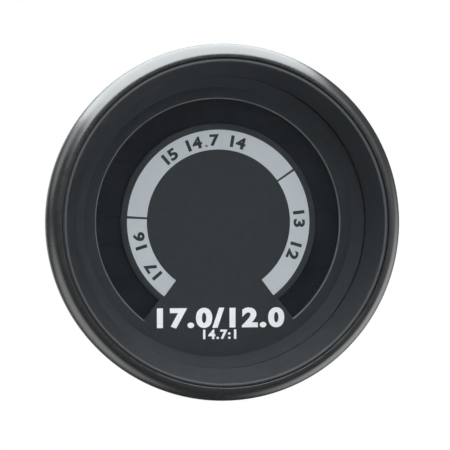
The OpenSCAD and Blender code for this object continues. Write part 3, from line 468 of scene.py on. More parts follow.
def figure_mesh(text, height, weight, widen, spacing=1.0):
    """A printed number as a thin mesh, centred on its width, which runs along x, with its height along z."""
    curve = bpy.data.curves.new("ink", "FONT")
    curve.body = text
    curve.align_x = "CENTER"
    curve.size = 1
    curve.offset = weight
    curve.space_character = spacing
    curve.resolution_u = OUTLINE_STEPS
    holder = bpy.data.objects.new("ink", curve)
    bpy.context.scene.collection.objects.link(holder)
    bpy.context.view_layer.update()
    flat = bpy.data.meshes.new_from_object(holder.evaluated_get(bpy.context.evaluated_depsgraph_get()))
    bm = bmesh.new()
    bm.from_mesh(flat)
    bpy.data.objects.remove(holder)
    bpy.data.curves.remove(curve)
    bpy.data.meshes.remove(flat)
    bmesh.ops.remove_doubles(bm, verts=bm.verts, dist=OUTLINE_MERGE)
    low = min(v.co.y for v in bm.verts)
    high = max(v.co.y for v in bm.verts)
    left = min(v.co.x for v in bm.verts)
    right = max(v.co.x for v in bm.verts)
    size = height / (high - low)
    shifted(bm, x=-(left + right) / 2, y=-low)
    bmesh.ops.scale(bm, vec=(size * widen, size, 1), verts=bm.verts)
    return pulled_along(swung(bm, 90, "X"), -INK_T)


# %% Numbers round the scale
FIGURE_H = 1.92
FIGURE_FOOT_R = 12.36
FIGURE_WEIGHT, FIGURE_WIDEN = 0.042, 1.2
POINT_H = 0.32


def around_scale(name, text, middle_angle, pitch):
    """Sets each sign of a number on the scale by itself, tops outwards, reading clockwise."""
    signs = []
    for i, sign in enumerate(text):
        if sign == " ":
            continue
        bm = figure_mesh(sign, POINT_H if sign == "." else FIGURE_H, FIGURE_WEIGHT, FIGURE_WIDEN)
        direction = middle_angle + pitch * ((len(text) - 1) / 2 - i)
        shifted(bm, y=BAND_Y + INK_LIFT, z=FIGURE_FOOT_R)
        signs.append(swung(bm, 90 - direction, "Y"))
    keep(joined(signs), name, "root", black_ink)


around_scale("numbers_lean", "17 16", 205.5, 7.6)
around_scale("numbers_middle", "15 14.7 14", 102.5, 6.3)
around_scale("numbers_rich", "13 12", -8.5, 7.6)

# %% Numbers under the scale
UPRIGHT_SPACING = 1.16


def upright(name, text, height, weight, widen, centre_x, foot_z):
    """Sets a number level on the dial, with its foot at the height given."""
    bm = figure_mesh(text, height, weight, widen, UPRIGHT_SPACING)
    shifted(bm, centre_x, DIAL_Y + INK_LIFT, foot_z)
    width = max(v.co.x for v in bm.verts) - min(v.co.x for v in bm.verts)
    print(name, "is", round(width, 2), "mm wide")
    keep(bm, name, "root", white_ink)


upright("number_large", "17.0/12.0", 3.35, 0.05, 1.21, 0.35, -17.3)
upright("number_small", "14.7:1", 1.6, 0.04, 1.08, 0.15, -19.1)

# %% [markdown]
# ## The lens and the window
# The lens is a flat disc of clear glass with a fine bevel. The strip behind the slot is
# smoked acrylic: it looks black and glossy until a lamp behind it lights, and only a
# little light comes through it. It keeps a small share of transparency, so the nearest
# lamps and the baffle's ribs can just be guessed.

# %% Glass and smoked acrylic
GLASS_IOR = 1.45
HAZE_SCALE, HAZE = 60, 0.02
SMOKE_ALPHA = 0.9


def clear_glass():
    """Clear glass with a trace of haze, which lets light through unbent where it only casts a shadow."""
    material, nodes, links, shader = blank_material("clear glass")
    shader.inputs["Base Color"].default_value = (1, 1, 1, 1)
    shader.inputs["Transmission Weight"].default_value = 1
    shader.inputs["IOR"].default_value = GLASS_IOR
    place = nodes.new("ShaderNodeTexCoord")
    haze = nodes.new("ShaderNodeTexNoise")
    haze.inputs["Scale"].default_value = HAZE_SCALE
    links.new(place.outputs["Object"], haze.inputs["Vector"])
    reach = nodes.new("ShaderNodeMapRange")
    reach.inputs["To Min"].default_value = 0.0
    reach.inputs["To Max"].default_value = HAZE
    links.new(haze.outputs["Fac"], reach.inputs["Value"])
    links.new(reach.outputs["Result"], shader.inputs["Roughness"])
    through = nodes.new("ShaderNodeBsdfTransparent")
    path = nodes.new("ShaderNodeLightPath")
    mix = nodes.new("ShaderNodeMixShader")
    links.new(path.outputs["Is Shadow Ray"], mix.inputs["Fac"])
    links.new(shader.outputs["BSDF"], mix.inputs[1])
    links.new(through.outputs["BSDF"], mix.inputs[2])
    links.new(mix.outputs["Shader"], nodes["Material Output"].inputs["Surface"])
    return material


glass = clear_glass()
smoke = finish_of("smoked acrylic", (0.006, 0.008, 0.010), 0.16, mottle=0.25, mottle_scale=140,
                  gloss_swing=0.04, grain_scale=900, grain=0.05)
smoke.node_tree.nodes["Principled BSDF"].inputs["Alpha"].default_value = SMOKE_ALPHA

# %% Turn the lens and bend the window
LENS_EASE = 0.2
LENS_SHARP_FROM = math.radians(10)
lens_line = [(0, LENS_FRONT_Y), (STACK_R, LENS_FRONT_Y), (STACK_R, LENS_BACK_Y), (0, LENS_BACK_Y)]
keep(turned(lens_line, rounds=[(1, LENS_EASE), (2, LENS_EASE)]), "lens_disc", "root", glass,
     ["lens"], LENS_SHARP_FROM)
WINDOW_Y, WINDOW_T, WINDOW_LAP = 0.9, 1.1, 0.9
WINDOW_PAST, WINDOW_STEPS = 3, 290
window_line = [(SLOT_IN_R - WINDOW_LAP, WINDOW_Y), (SLOT_OUT_R + WINDOW_LAP, WINDOW_Y),
               (SLOT_OUT_R + WINDOW_LAP, WINDOW_Y + WINDOW_T), (SLOT_IN_R - WINDOW_LAP, WINDOW_Y + WINDOW_T)]
keep(arc_strip(window_line, SLOT_FROM + WINDOW_PAST, SLOT_TO - WINDOW_PAST, WINDOW_STEPS),
     "window_strip", "root", smoke, ["smoked_window"])

# %% [markdown]
# ## The case
# Behind the panel the gauge is a moulded cup. Moulded parts leave their tool on a slight
# taper, so the barrel is straight only where the panel hole holds it and draws in behind
# that. Bores for the studs and the leads are cut with a boolean, as a drill or a core
# pin would, because the cup itself is a plain turned shape.

# %% Drill and mill with a boolean
CUT_MERGE = 0.0005
DRILL_STEPS = 64


def tool(name, bm):
    """A cutting tool: a mesh in metres that is used once and thrown away."""
    bmesh.ops.scale(bm, vec=(MM, MM, MM), verts=bm.verts)
    mesh = bpy.data.meshes.new(name)
    bm.to_mesh(mesh)
    bm.free()
    cutter = bpy.data.objects.new(name, mesh)
    bpy.context.scene.collection.objects.link(cutter)
    return cutter


def machined(bm, tools, operation="DIFFERENCE"):
    """The mesh, in millimetres, after each tool has cut it, been added to it or left only what both share."""
    blank = tool("blank", bm)
    for cutter in tools:
        cut = blank.modifiers.new("cut", "BOOLEAN")
        cut.operation = operation
        cut.object = cutter
        cut.solver = "EXACT"
    bpy.context.view_layer.update()
    result = bpy.data.meshes.new_from_object(blank.evaluated_get(bpy.context.evaluated_depsgraph_get()))
    out = bmesh.new()
    out.from_mesh(result)
    bmesh.ops.scale(out, vec=(1 / MM,) * 3, verts=out.verts)
    bmesh.ops.remove_doubles(out, verts=out.verts, dist=CUT_MERGE)
    for used in [blank] + tools:
        bpy.data.objects.remove(used)
    bpy.data.meshes.remove(result)
    return out


def drill(radius, start_y, end_y, x, z):
    """A round cutter along the axis, centred on (x, z)."""
    bm = turned([(0, start_y), (radius, start_y), (radius, end_y), (0, end_y)], steps=DRILL_STEPS)
    return tool("drill", shifted(bm, x=x, z=z))


# %% Turn the case and bore it
CASE_R, BORE_R, BOARD_BORE_R = 25.9, 24.1, 22.9
FLANGE_FRONT_Y, FLANGE_BACK_Y = -2.1, -0.7
LEDGE_Y, INSIDE_Y, CASE_BACK_Y = 11.6, 32.0, 34.0
BARREL_Y = 14.0
REAR_R = 25.3
STUD_Z, STUD_R = 12.7, 2.085
OUTLET_X, OUTLET_HOLE_R = 14.0, 4.0
PAD_R, PAD_Y, PAD_SINK, PAD_EASE = 5.7, 34.6, 0.5, 0.2
NECK_R = CASE_R - 0.4
HOLE_GAP = 0.1
WALL_DRILL_Y = (30, 36)
SMALL_STEPS = 96
case_line = [
    (BORE_R, FLANGE_FRONT_Y), (STACK_R, FLANGE_FRONT_Y), (STACK_R, FLANGE_BACK_Y), (NECK_R, FLANGE_BACK_Y),
    (NECK_R, 0), (CASE_R, 0), (CASE_R, BARREL_Y), (REAR_R, CASE_BACK_Y), (0, CASE_BACK_Y), (0, INSIDE_Y),
    (BOARD_BORE_R, INSIDE_Y), (BOARD_BORE_R, LEDGE_Y), (BORE_R, LEDGE_Y)
]
REAR_EDGE, FLOOR_EDGE, SEAT_EDGE, BARREL_END = (7, 2.0), (10, 1.0), (5, 0.2), (6, 1.2)


def stud_pad(z):
    """The raised round pad that a stud's washer sits on, with a softened edge."""
    foot_y = CASE_BACK_Y - PAD_SINK
    bm = turned([(0, foot_y), (PAD_R, foot_y), (PAD_R, PAD_Y), (0, PAD_Y)], rounds=[(2, PAD_EASE)],
                steps=SMALL_STEPS)
    return tool("pad", shifted(bm, z=z))


moulded_case = finish_of("moulded case", (0.026, 0.028, 0.030), 0.52, mottle=0.08, mottle_scale=240,
                         gloss_swing=0.04, grain_scale=2400, grain=0.45, grain_height=0.00006)
cup = turned(case_line, rounds=[REAR_EDGE, FLOOR_EDGE, SEAT_EDGE, BARREL_END], segments=6)
cup = machined(cup, [stud_pad(STUD_Z), stud_pad(-STUD_Z)], "UNION")
bores = [drill(STUD_R + HOLE_GAP, *WALL_DRILL_Y, 0, side * STUD_Z) for side in (-1, 1)]
bores.append(drill(OUTLET_HOLE_R, *WALL_DRILL_Y, OUTLET_X, 0))
keep(machined(cup, bores), "case_cup", "root", moulded_case, ["case"])

# %% [markdown]
# ## The rubber bush
# The leads leave through a bush of soft black rubber, pressed into the rear wall and
# held by its two flanges. The lead bundle isn't part of this model, so the bush is open.

# %% Turn the bush
bush_rubber = finish_of("black rubber", (0.018, 0.018, 0.019), 0.78, mottle=0.2, mottle_scale=300,
                        gloss_swing=0.1, grain_scale=3200, grain=0.5, grain_height=0.00005, specular=0.3)
BUSH_BORE_R, BUSH_FLANGE_R = 2.75, 5.3
BUSH_FRONT_Y, BUSH_BACK_Y = 30.5, 35.5
BUSH_ROUNDS = [(1, 0.5), (6, 0.7), (7, 0.5), (0, 0.4)]
bush_line = [
    (BUSH_BORE_R, BUSH_FRONT_Y), (BUSH_FLANGE_R, BUSH_FRONT_Y), (BUSH_FLANGE_R, INSIDE_Y),
    (OUTLET_HOLE_R, INSIDE_Y), (OUTLET_HOLE_R, CASE_BACK_Y), (BUSH_FLANGE_R, CASE_BACK_Y),
    (BUSH_FLANGE_R, BUSH_BACK_Y), (BUSH_BORE_R, BUSH_BACK_Y)
]
bush_mesh = turned(bush_line, rounds=BUSH_ROUNDS, steps=SMALL_STEPS)
keep(shifted(bush_mesh, x=OUTLET_X), "outlet_bush", "root", bush_rubber, ["lead_grommet"])

# %% [markdown]
# ## Studs with a real thread
# A thread is a ridge wound round a core. The core is turned, and the ridge is a narrow
# section with a flat crest that is spun and pushed along the axis at the same time, one
# pitch a turn, so that it climbs like the real one. Its start and end are closed. A
# six-sided head holds the stud inside the case.

# %% Zinc, brass and strap steel
zinc = finish_of("bright zinc", (0.56, 0.57, 0.59), 0.30, metallic=1.0, mottle=0.10, mottle_scale=260,
                 gloss_swing=0.08, grain_scale=3000, grain=0.12)
brass = finish_of("turned brass", (0.60, 0.44, 0.19), 0.28, metallic=1.0, mottle=0.10, mottle_scale=240,
                  gloss_swing=0.09, grain_scale=900, grain=0.25, grain_height=0.00002, stretch=(1, 9, 1))
strap_steel = finish_of("plated strap", (0.40, 0.41, 0.43), 0.34, metallic=1.0, mottle=0.12,
                        mottle_scale=130, gloss_swing=0.10, grain_scale=700, grain=0.35,
                        grain_height=0.00002, stretch=(14, 1, 1))

# %% Wind the studs
PITCH = 0.794
CORE_R = 1.66
STUD_TIP_Y, STUD_HEAD_Y = 57.0, 29.6
THREAD_FROM_Y, THREAD_TO_Y = 33.5, 56.2
RIDGE_HALF, CREST_HALF, RIDGE_ROOT = 0.44 * PITCH, 0.06, 0.05
TIP_LENGTH, TIP_DRAW = 0.5, 0.45
CORE_START = 1
HEX_FLATS = 8
TURN_SIDES = 28
CORE_STEPS = 48


def thread(start_y, end_y):
    """The wound ridge of a right-hand thread."""
    root_r = CORE_R - RIDGE_ROOT
    bm = section(bmesh.new(), [(root_r, start_y - RIDGE_HALF), (STUD_R, start_y - CREST_HALF),
                               (STUD_R, start_y + CREST_HALF), (root_r, start_y + RIDGE_HALF)])
    turns = (end_y - start_y) / PITCH
    steps = int(turns * TURN_SIDES)
    bmesh.ops.spin(bm, geom=bm.verts[:] + bm.edges[:], cent=(0, 0, 0), axis=(0, 1, 0),
                   dvec=(0, (end_y - start_y) / steps, 0), angle=turns * math.tau, steps=steps,
                   use_merge=False, use_duplicate=False)
    bmesh.ops.holes_fill(bm, edges=[e for e in bm.edges if e.is_boundary or e.is_wire], sides=0)
    bmesh.ops.recalc_face_normals(bm, faces=bm.faces)
    return bm


HEX_CORNER_R = HEX_FLATS / 2 / math.cos(math.radians(30))


def hexagon(start_y, end_y):
    """Six-sided bar between two depths."""
    bm = bmesh.new()
    bmesh.ops.create_circle(bm, cap_ends=True, segments=6, radius=HEX_CORNER_R)
    return pulled_along(shifted(swung(bm, -90, "X"), y=start_y), end_y - start_y)


def stud(z):
    """A whole stud at its height: core, thread and head."""
    core_from_y = STUD_HEAD_Y + CORE_START
    core = turned([(0, core_from_y), (CORE_R, core_from_y), (CORE_R, STUD_TIP_Y - TIP_LENGTH),
                   (CORE_R - TIP_DRAW, STUD_TIP_Y), (0, STUD_TIP_Y)], steps=CORE_STEPS)
    whole = joined([core, thread(THREAD_FROM_Y, THREAD_TO_Y), hexagon(STUD_HEAD_Y, INSIDE_Y)])
    return shifted(whole, z=z)


keep(joined([stud(STUD_Z), stud(-STUD_Z)]), "threaded_studs", "root", zinc, ["mounting_studs"])

# %% [markdown]
# ## Washers and lock nuts
# A washer is a short turned ring with its edges eased. The thin nuts that lock the studs
# are six-sided bar with the corners of the outer face turned away, so the hexagon is cut
# by a turned shape, the crown, and only what both have in common is kept. The crown goes
# past the bar at both ends, because a boolean can't be trusted with two faces that lie
# in one plane.

# %% Washers and lock nuts on the case
WASHER_R, WASHER_BACK_Y, NUT_BACK_Y = 4.75, 35.2, 37.2
WASHER_EASE, WASHER_STEPS = 0.1, 72
CROWN_FOOT_R, CROWN_TOP_R = HEX_CORNER_R + 0.9, 3.95
CROWN_PAST = 0.5
THREAD_GAP = 0.05
NUT_DRILL_Y = (34, 38)


def washer(z):
    """A flat washer with all four of its edges eased."""
    line = [(STUD_R + HOLE_GAP, PAD_Y), (WASHER_R, PAD_Y), (WASHER_R, WASHER_BACK_Y),
            (STUD_R + HOLE_GAP, WASHER_BACK_Y)]
    bm = turned(line, rounds=[(corner, WASHER_EASE) for corner in range(4)], steps=WASHER_STEPS)
    return shifted(bm, z=z)


def lock_nut(z):
    """A thin nut: bar, crown and bore."""
    widening = CROWN_PAST * (CROWN_FOOT_R - CROWN_TOP_R) / (NUT_BACK_Y - WASHER_BACK_Y)
    front_y, back_y = WASHER_BACK_Y - CROWN_PAST, NUT_BACK_Y + CROWN_PAST
    crown_line = [(0, front_y), (CROWN_FOOT_R + widening, front_y), (CROWN_TOP_R - widening, back_y),
                  (0, back_y)]
    crown = tool("crown", turned(crown_line, steps=SMALL_STEPS))
    bm = machined(hexagon(WASHER_BACK_Y, NUT_BACK_Y), [crown], "INTERSECT")
    bm = machined(bm, [drill(STUD_R + THREAD_GAP, *NUT_DRILL_Y, 0, 0)])
    return shifted(bm, z=z)


keep(joined([washer(-STUD_Z), washer(STUD_Z)]), "case_washers", "root", zinc, ["stud_washers"])
keep(joined([lock_nut(STUD_Z), lock_nut(-STUD_Z)]), "case_nuts", "root", zinc, ["stud_nuts"])

# %% [markdown]
# ## The clamp
# The clamp is a strip of plated steel bent into a U. Its outer line is drawn from foot
# to foot, the two bends are rounded, the line is pulled out to the strip's width and the
# sheet is given its thickness inwards. The feet have clipped corners, and all the edges
# are eased, because sheared strip is tumbled before it is plated.

# %% Bend the strap
STRAP_W, STRAP_T = 12.0, 1.2
LEG_OUT_Z, FOOT_Y, STRAP_BACK_Y = 28.3, 6.0, 43.5
BEND_OUT, FOOT_CLIP, STRAP_EASE = 4.2, 1.5, 0.15
STRAP_DRILL_Y = (40, 46)


def bend_strap():
    """The strap, from foot to foot, before its holes are drilled."""
    bm = bmesh.new()
    line = [(FOOT_Y, LEG_OUT_Z), (STRAP_BACK_Y, LEG_OUT_Z), (STRAP_BACK_Y, -LEG_OUT_Z), (FOOT_Y, -LEG_OUT_Z)]
    points = [bm.verts.new((-STRAP_W / 2, y, z)) for y, z in line]
    for a, b in zip(points, points[1:]):
        bm.edges.new((a, b))
    bmesh.ops.bevel(bm, geom=points[1:3], offset=BEND_OUT, offset_type="OFFSET", segments=14, profile=0.5,
                    affect="VERTICES", material=-1)
    wide = bmesh.ops.extrude_edge_only(bm, edges=bm.edges[:])["geom"]
    bmesh.ops.translate(bm, vec=(STRAP_W, 0, 0), verts=[v for v in wide if isinstance(v, bmesh.types.BMVert)])
    bmesh.ops.recalc_face_normals(bm, faces=bm.faces)
    middle = max(bm.faces, key=lambda f: f.calc_area())
    if middle.normal.y < -0.5:
        bmesh.ops.reverse_faces(bm, faces=bm.faces)
    bmesh.ops.solidify(bm, geom=bm.faces[:], thickness=STRAP_T)
    bmesh.ops.recalc_face_normals(bm, faces=bm.faces)

    def at_foot_corner(vert):
        return abs(vert.co.y - FOOT_Y) < CLOSE and abs(abs(vert.co.x) - STRAP_W / 2) < CLOSE

    corners = [e for e in bm.edges if all(at_foot_corner(v) for v in e.verts)]
    bmesh.ops.bevel(bm, geom=corners, offset=FOOT_CLIP, offset_type="OFFSET", segments=1, profile=0.5,
                    affect="EDGES", material=-1)
    return bm


def ease_edges(piece, width):
    """Rounds a piece's sharp edges by a live bevel, which comes before its normals are weighted."""
    bevel = piece.modifiers.new("eased edges", "BEVEL")
    bevel.width = width * MM
    bevel.segments = 2
    bevel.limit_method = "ANGLE"
    bevel.angle_limit = math.radians(35)
    bevel.harden_normals = True
    piece.modifiers.move(len(piece.modifiers) - 1, 0)


strap_mesh = bend_strap()
print("the strap is", round(max(v.co.z for v in strap_mesh.verts) * 2, 2), "mm from leg to leg")
strap_holes = [drill(STUD_R + HOLE_GAP, *STRAP_DRILL_Y, 0, side * STUD_Z) for side in (-1, 1)]
strap = keep(machined(strap_mesh, strap_holes), "clamp_strap", "bracket", strap_steel,
             ["bracket"])
ease_edges(strap, STRAP_EASE)

# %% [markdown]
# ## Split washers and thumb nuts
# A split washer is a ring with a cut, so it is swung through a little less than a full
# turn. A thumb nut has a plain collar and a grip with flutes. The grip starts as a circle
# whose points are drawn in at each flute, is pulled out to its length, and gets its ends
# eased. The collar is turned and the two are joined.

# %% Split washers
SPLIT_R, SPLIT_BACK_Y = 3.8, 44.6
SPLIT_HALF, SPLIT_EASE, SPLIT_STEPS = 8, 0.12, 56


def split_washer(z):
    """A spring washer with its cut towards the viewer's right."""
    line = [(STUD_R + HOLE_GAP, STRAP_BACK_Y), (SPLIT_R, STRAP_BACK_Y), (SPLIT_R, SPLIT_BACK_Y),
            (STUD_R + HOLE_GAP, SPLIT_BACK_Y)]
    rounds = [(corner, SPLIT_EASE) for corner in range(4)]
    return shifted(arc_strip(line, SPLIT_HALF, 360 - SPLIT_HALF, SPLIT_STEPS, rounds), z=z)


keep(joined([split_washer(STUD_Z), split_washer(-STUD_Z)]), "split_washers", "bracket", zinc,
     ["lock_washers"])

# %% Thumb nuts
GRIP_R, COLLAR_R, COLLAR_H, NUT_H = 5.5, 3.8, 1.4, 5.0
FLUTES, FLUTE_R, GRIP_EASE = 20, 0.5, 0.175
COLLAR_LAP, COLLAR_EASE, BORE_EASE = 0.1, 0.2, 0.15
POINTS_A_FLUTE = 12


def fluted(radius, angle):
    """How far out the grip reaches in one direction, with the flutes cut in."""
    pitch = math.tau / FLUTES
    off = (angle + pitch / 2) % pitch - pitch / 2
    across = radius * math.sin(off)
    if abs(across) >= FLUTE_R:
        return radius
    return radius - math.sqrt(FLUTE_R ** 2 - across ** 2)


def thumb_nut():
    """A thumb nut at the origin, with its collar in front."""
    bore_r = STUD_R + THREAD_GAP
    points = FLUTES * POINTS_A_FLUTE
    bm = bmesh.new()
    bmesh.ops.create_circle(bm, cap_ends=False, segments=points, radius=GRIP_R)
    for vert in bm.verts:
        reach = fluted(GRIP_R, math.atan2(vert.co.y, vert.co.x)) / GRIP_R
        vert.co.x *= reach
        vert.co.y *= reach
    outer = bm.edges[:]
    hole = bmesh.ops.create_circle(bm, cap_ends=False, segments=points, radius=bore_r)["verts"]
    inner = [e for e in bm.edges if all(v in hole for v in e.verts)]
    bmesh.ops.bridge_loops(bm, edges=outer + inner)
    pulled_along(shifted(swung(bm, -90, "X"), y=COLLAR_H), NUT_H - COLLAR_H)

    def on_rim(edge):
        return abs(edge.verts[0].co.y - edge.verts[1].co.y) < CLOSE and edge.calc_face_angle(0) > STEEP

    bmesh.ops.bevel(bm, geom=[e for e in bm.edges if on_rim(e)], offset=GRIP_EASE, offset_type="OFFSET",
                    segments=2, profile=0.5, affect="EDGES", material=-1)
    collar_end = COLLAR_H + COLLAR_LAP
    collar = turned([(bore_r, 0), (COLLAR_R, 0), (COLLAR_R, collar_end), (bore_r, collar_end)],
                    rounds=[(1, COLLAR_EASE), (0, BORE_EASE)], steps=SMALL_STEPS)
    return joined([bm, collar])


for nut_name, nut_z in (("nut_upper", STUD_Z), ("nut_lower", -STUD_Z)):
    nut_mesh = shifted(thumb_nut(), y=SPLIT_BACK_Y, z=nut_z)
    keep(nut_mesh, "thumb_" + nut_name, nut_name, brass, [nut_name])

# %% [markdown]
# ## What lies inside
# The boards, the lamps and the parts of the circuit are already the right shapes in the
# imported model, so they keep their meshes and only get their finishes. Little of them
# shows, but an opened gauge should look right too.

# %% Finishes of the inner pieces
def lamp_epoxy(name, colour):
    """The clear-coated, tinted body of a lamp that isn't lit."""
    return finish_of(name, colour, 0.14, mottle=0.08, grain=0.02, coat=0.4)


circuit_finishes = {
    "lens_gasket": bush_rubber,
    "lamp_baffle": finish_of("baffle black", (0.018, 0.018, 0.020), 0.6, grain=0.3),
    "lean_lamps": lamp_epoxy("red lamp epoxy", (0.30, 0.018, 0.014)),
    "stoich_lamps": lamp_epoxy("amber lamp epoxy", (0.42, 0.19, 0.02)),
    "rich_lamps": lamp_epoxy("green lamp epoxy", (0.03, 0.27, 0.06)),
    "lamp_board": finish_of("board green", (0.014, 0.11, 0.05), 0.38, mottle=0.18, mottle_scale=700,
                            grain=0.15),
    "header_pins": finish_of("gilt pins", (0.7, 0.55, 0.22), 0.25, metallic=1.0, mottle=0.06),
    "header_sockets": finish_of("moulded black", (0.028, 0.028, 0.030), 0.5, grain=0.25),
    "driver_chips": finish_of("chip epoxy", (0.026, 0.026, 0.028), 0.62, mottle=0.2, mottle_scale=900,
                              grain=0.4),
    "capacitors": finish_of("can sleeve", (0.02, 0.03, 0.09), 0.3, mottle=0.1, grain=0.05),
    "trimmer": finish_of("trimmer blue", (0.02, 0.08, 0.30), 0.45, mottle=0.1, grain=0.2),
    "resistors": finish_of("resistor lacquer", (0.52, 0.40, 0.24), 0.4, mottle=0.15, mottle_scale=1500,
                           grain=0.1),
    "board_spacers": brass,
    "board_screws": zinc,
}
for twin, first in (("driver_board", "lamp_board"), ("regulator", "driver_chips"), ("diode", "driver_chips")):
    circuit_finishes[twin] = circuit_finishes[first]
for node_name, node_finish in circuit_finishes.items():
    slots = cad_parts[node_name].data.materials
    slots.clear()
    slots.append(node_finish)
print("inner pieces with a finish:", len(circuit_finishes))

# %% [markdown]
# ## Floor, light and camera
# The photograph has a white background and no visible shadow. A small pale floor under
# the gauge, out of the camera's sight, gives the other views a soft shadow. It fades out
# before its edge, and reflections pass through it.

# %% The floor
FLOOR_Z, FLOOR_R = -0.060, 0.17
FADE_FROM_R, FADE_TO_R = 0.09, 0.97 * FLOOR_R
GAUGE_MIDDLE_Y = 0.024
PAPER_GREY, PAPER_ROUGHNESS = (0.62, 0.62, 0.62, 1), 0.9


def floor_paper():
    """Matte paper that turns clear towards the floor's edge, and everywhere for reflections."""
    material, nodes, links, shader = blank_material("paper floor")
    shader.inputs["Base Color"].default_value = PAPER_GREY
    shader.inputs["Roughness"].default_value = PAPER_ROUGHNESS
    shader.inputs["Specular IOR Level"].default_value = 0.0
    place = nodes.new("ShaderNodeTexCoord")
    centre = nodes.new("ShaderNodeMapping")
    centre.inputs["Location"].default_value = (0, -GAUGE_MIDDLE_Y, -FLOOR_Z)
    length = nodes.new("ShaderNodeVectorMath")
    length.operation = "LENGTH"
    reach = nodes.new("ShaderNodeMapRange")
    reach.interpolation_type = "SMOOTHSTEP"
    reach.inputs["From Min"].default_value = FADE_FROM_R
    reach.inputs["From Max"].default_value = FADE_TO_R
    clear = nodes.new("ShaderNodeBsdfTransparent")
    mix = nodes.new("ShaderNodeMixShader")
    links.new(place.outputs["Object"], centre.inputs["Vector"])
    links.new(centre.outputs["Vector"], length.inputs[0])
    links.new(length.outputs["Value"], reach.inputs["Value"])
    path = nodes.new("ShaderNodeLightPath")
    unseen = nodes.new("ShaderNodeMath")
    unseen.operation = "MAXIMUM"
    links.new(reach.outputs["Result"], unseen.inputs[0])
    links.new(path.outputs["Is Glossy Ray"], unseen.inputs[1])
    links.new(unseen.outputs["Value"], mix.inputs["Fac"])
    links.new(shader.outputs["BSDF"], mix.inputs[1])
    links.new(clear.outputs["BSDF"], mix.inputs[2])
    links.new(mix.outputs["Shader"], nodes["Material Output"].inputs["Surface"])
    return material


floor_mesh = bpy.data.meshes.new("floor")
floor_bm = bmesh.new()
bmesh.ops.create_circle(floor_bm, cap_ends=True, segments=SMALL_STEPS, radius=FLOOR_R)
shifted(floor_bm, y=GAUGE_MIDDLE_Y, z=FLOOR_Z)
floor_bm.to_mesh(floor_mesh)
floor_bm.free()
floor_mesh.materials.append(floor_paper())
floor = bpy.data.objects.new("floor", floor_mesh)
bpy.context.scene.collection.objects.link(floor)

# %% [markdown]
# The world has three faces. The camera sees plain white. Diffuse surfaces get an even,
# weak fill. Reflections and glass see a dark room that has pale patches in a few
# directions, each given as where it lies, from which cosine on it shows, and how bright
# it is: they draw the soft greys on the sides of the bezel and the sheen of the rear.

# %% The world
FILL_STRENGTH = 0.46
ROOM_STRENGTH = 0.045
PALE_SIDES = (
    ((-0.72, 0.28, -0.62), 0.72, 0.65),
    ((-0.76, 0.50, 0.42), 0.90, 0.60),
    ((0.84, 0.22, -0.50), 0.66, 0.95),
    ((0.95, 0.30, 0.05), 0.60, 0.05),
    ((0.0, 1.0, 0.0), 0.90, 0.70),
)


def light_world():
    """Builds the world's nodes: pale patches added up for reflections, a fill, and white for the camera."""
    world = bpy.data.worlds.new("studio")
    bpy.context.scene.world = world
    world.use_nodes = True
    nodes, links = world.node_tree.nodes, world.node_tree.links
    nodes.clear()
    place = nodes.new("ShaderNodeTexCoord")
    path = nodes.new("ShaderNodeLightPath")
    room = None
    for towards, from_cosine, strength in PALE_SIDES:
        lean = nodes.new("ShaderNodeVectorMath")
        lean.operation = "DOT_PRODUCT"
        lean.inputs[1].default_value = Vector(towards).normalized()
        side = nodes.new("ShaderNodeMapRange")
        side.interpolation_type = "SMOOTHSTEP"
        side.inputs["From Min"].default_value = from_cosine
        side.inputs["To Max"].default_value = strength
        links.new(place.outputs["Generated"], lean.inputs[0])
        links.new(lean.outputs["Value"], side.inputs["Value"])
        total = nodes.new("ShaderNodeMath")
        total.inputs[1].default_value = ROOM_STRENGTH
        links.new(side.outputs["Result"], total.inputs[0])
        if room:
            links.new(room, total.inputs[1])
        room = total.outputs["Value"]
    mirror = nodes.new("ShaderNodeMath")
    mirror.operation = "MAXIMUM"
    links.new(path.outputs["Is Glossy Ray"], mirror.inputs[0])
    links.new(path.outputs["Is Transmission Ray"], mirror.inputs[1])
    seen = nodes.new("ShaderNodeMix")
    seen.inputs["A"].default_value = FILL_STRENGTH
    links.new(mirror.outputs["Value"], seen.inputs["Factor"])
    links.new(room, seen.inputs["B"])
    white = nodes.new("ShaderNodeMix")
    white.inputs["B"].default_value = 1.0
    links.new(path.outputs["Is Camera Ray"], white.inputs["Factor"])
    links.new(seen.outputs["Result"], white.inputs["A"])
    back = nodes.new("ShaderNodeBackground")
    back.inputs["Color"].default_value = (1, 1, 1, 1)
    out = nodes.new("ShaderNodeOutputWorld")
    links.new(white.outputs["Result"], back.inputs["Strength"])
    links.new(back.outputs["Background"], out.inputs["Surface"])


light_world()

# %% [markdown]
# Four lamps, all a little cool. The wide one overhead draws the long highlight on the
# top of the bezel. Two of them, above the camera and low on the right, only lift the
# paint and the ink, so they are kept out of the reflections. The panel on the right is
# faint.

# %% The softboxes
LAMP_COLOUR = (0.93, 0.975, 1.0)


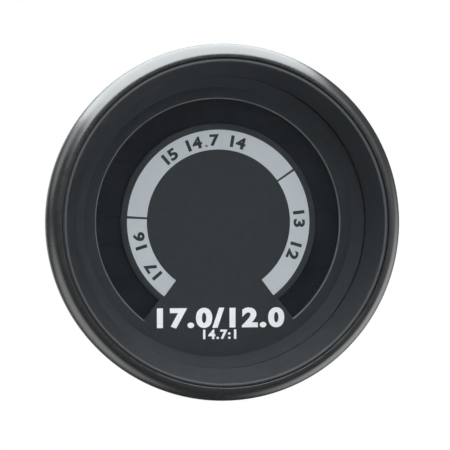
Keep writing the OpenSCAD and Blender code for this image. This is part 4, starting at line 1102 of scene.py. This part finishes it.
def softbox(name, centre, aim, width, depth, radiance, reflected=True):
    """A rectangular lamp that the camera doesn't see. Its power follows from its size and brightness."""
    lamp = bpy.data.lights.new(name, "AREA")
    lamp.shape = "RECTANGLE"
    lamp.size, lamp.size_y = width, depth
    lamp.energy = radiance * math.pi * width * depth
    lamp.color = LAMP_COLOUR
    box = bpy.data.objects.new(name, lamp)
    bpy.context.scene.collection.objects.link(box)
    box.location = centre
    box.rotation_mode = "QUATERNION"
    box.rotation_quaternion = (Vector(aim) - Vector(centre)).to_track_quat("-Z", "Y")
    box.visible_camera = False
    box.visible_glossy = reflected


softbox("overhead", (-0.15, 0.1, 0.95), (-0.15, 0.1, 0), 1.9, 4.6, 2.6)
softbox("above_camera", (-0.15, -1.9, 0.72), (0, 0, 0), 2.0, 0.8, 2.0, reflected=False)
softbox("right_panel", (1.5, -1.5, 0.5), (0, 0, 0), 1.8, 1.8, 0.2)
softbox("low_bounce", (0.9, -1.3, -1.1), (0, 0, 0), 1.8, 1.4, 2.6, reflected=False)

# %% [markdown]
# The camera stands a little to the left of the gauge and a hair above it, far enough for
# a long lens: the rings of the face shift against each other by only a little. Its
# place was found by fitting circles to the rings of the photograph and asking which
# view shifts the deep rings by as much.

# %% The camera
AZIMUTH, ELEVATION = -9.1, 0.9
DISTANCE = 0.350
LENS_MM, SENSOR_MM = 174.7, 36.0
CLIP_FROM, CLIP_TO = 0.01, 20
AIM = Vector((0.00016, WIDEST_Y * MM, -0.00041))
turn_a, turn_e = math.radians(AZIMUTH), math.radians(ELEVATION)
level = math.cos(turn_e)
outward = Vector((math.sin(turn_a) * level, -math.cos(turn_a) * level, math.sin(turn_e)))
camera = bpy.data.objects.new("camera", bpy.data.cameras.new("camera"))
bpy.context.scene.collection.objects.link(camera)
camera.data.lens, camera.data.sensor_width = LENS_MM, SENSOR_MM
camera.data.clip_start, camera.data.clip_end = CLIP_FROM, CLIP_TO
camera.location = AIM + outward * DISTANCE
camera.rotation_mode = "QUATERNION"
camera.rotation_quaternion = (-outward).to_track_quat("-Z", "Y")
bpy.context.scene.camera = camera
bpy.context.scene.view_settings.view_transform = "Standard"

# %% Finish
bpy.context.view_layer.update()
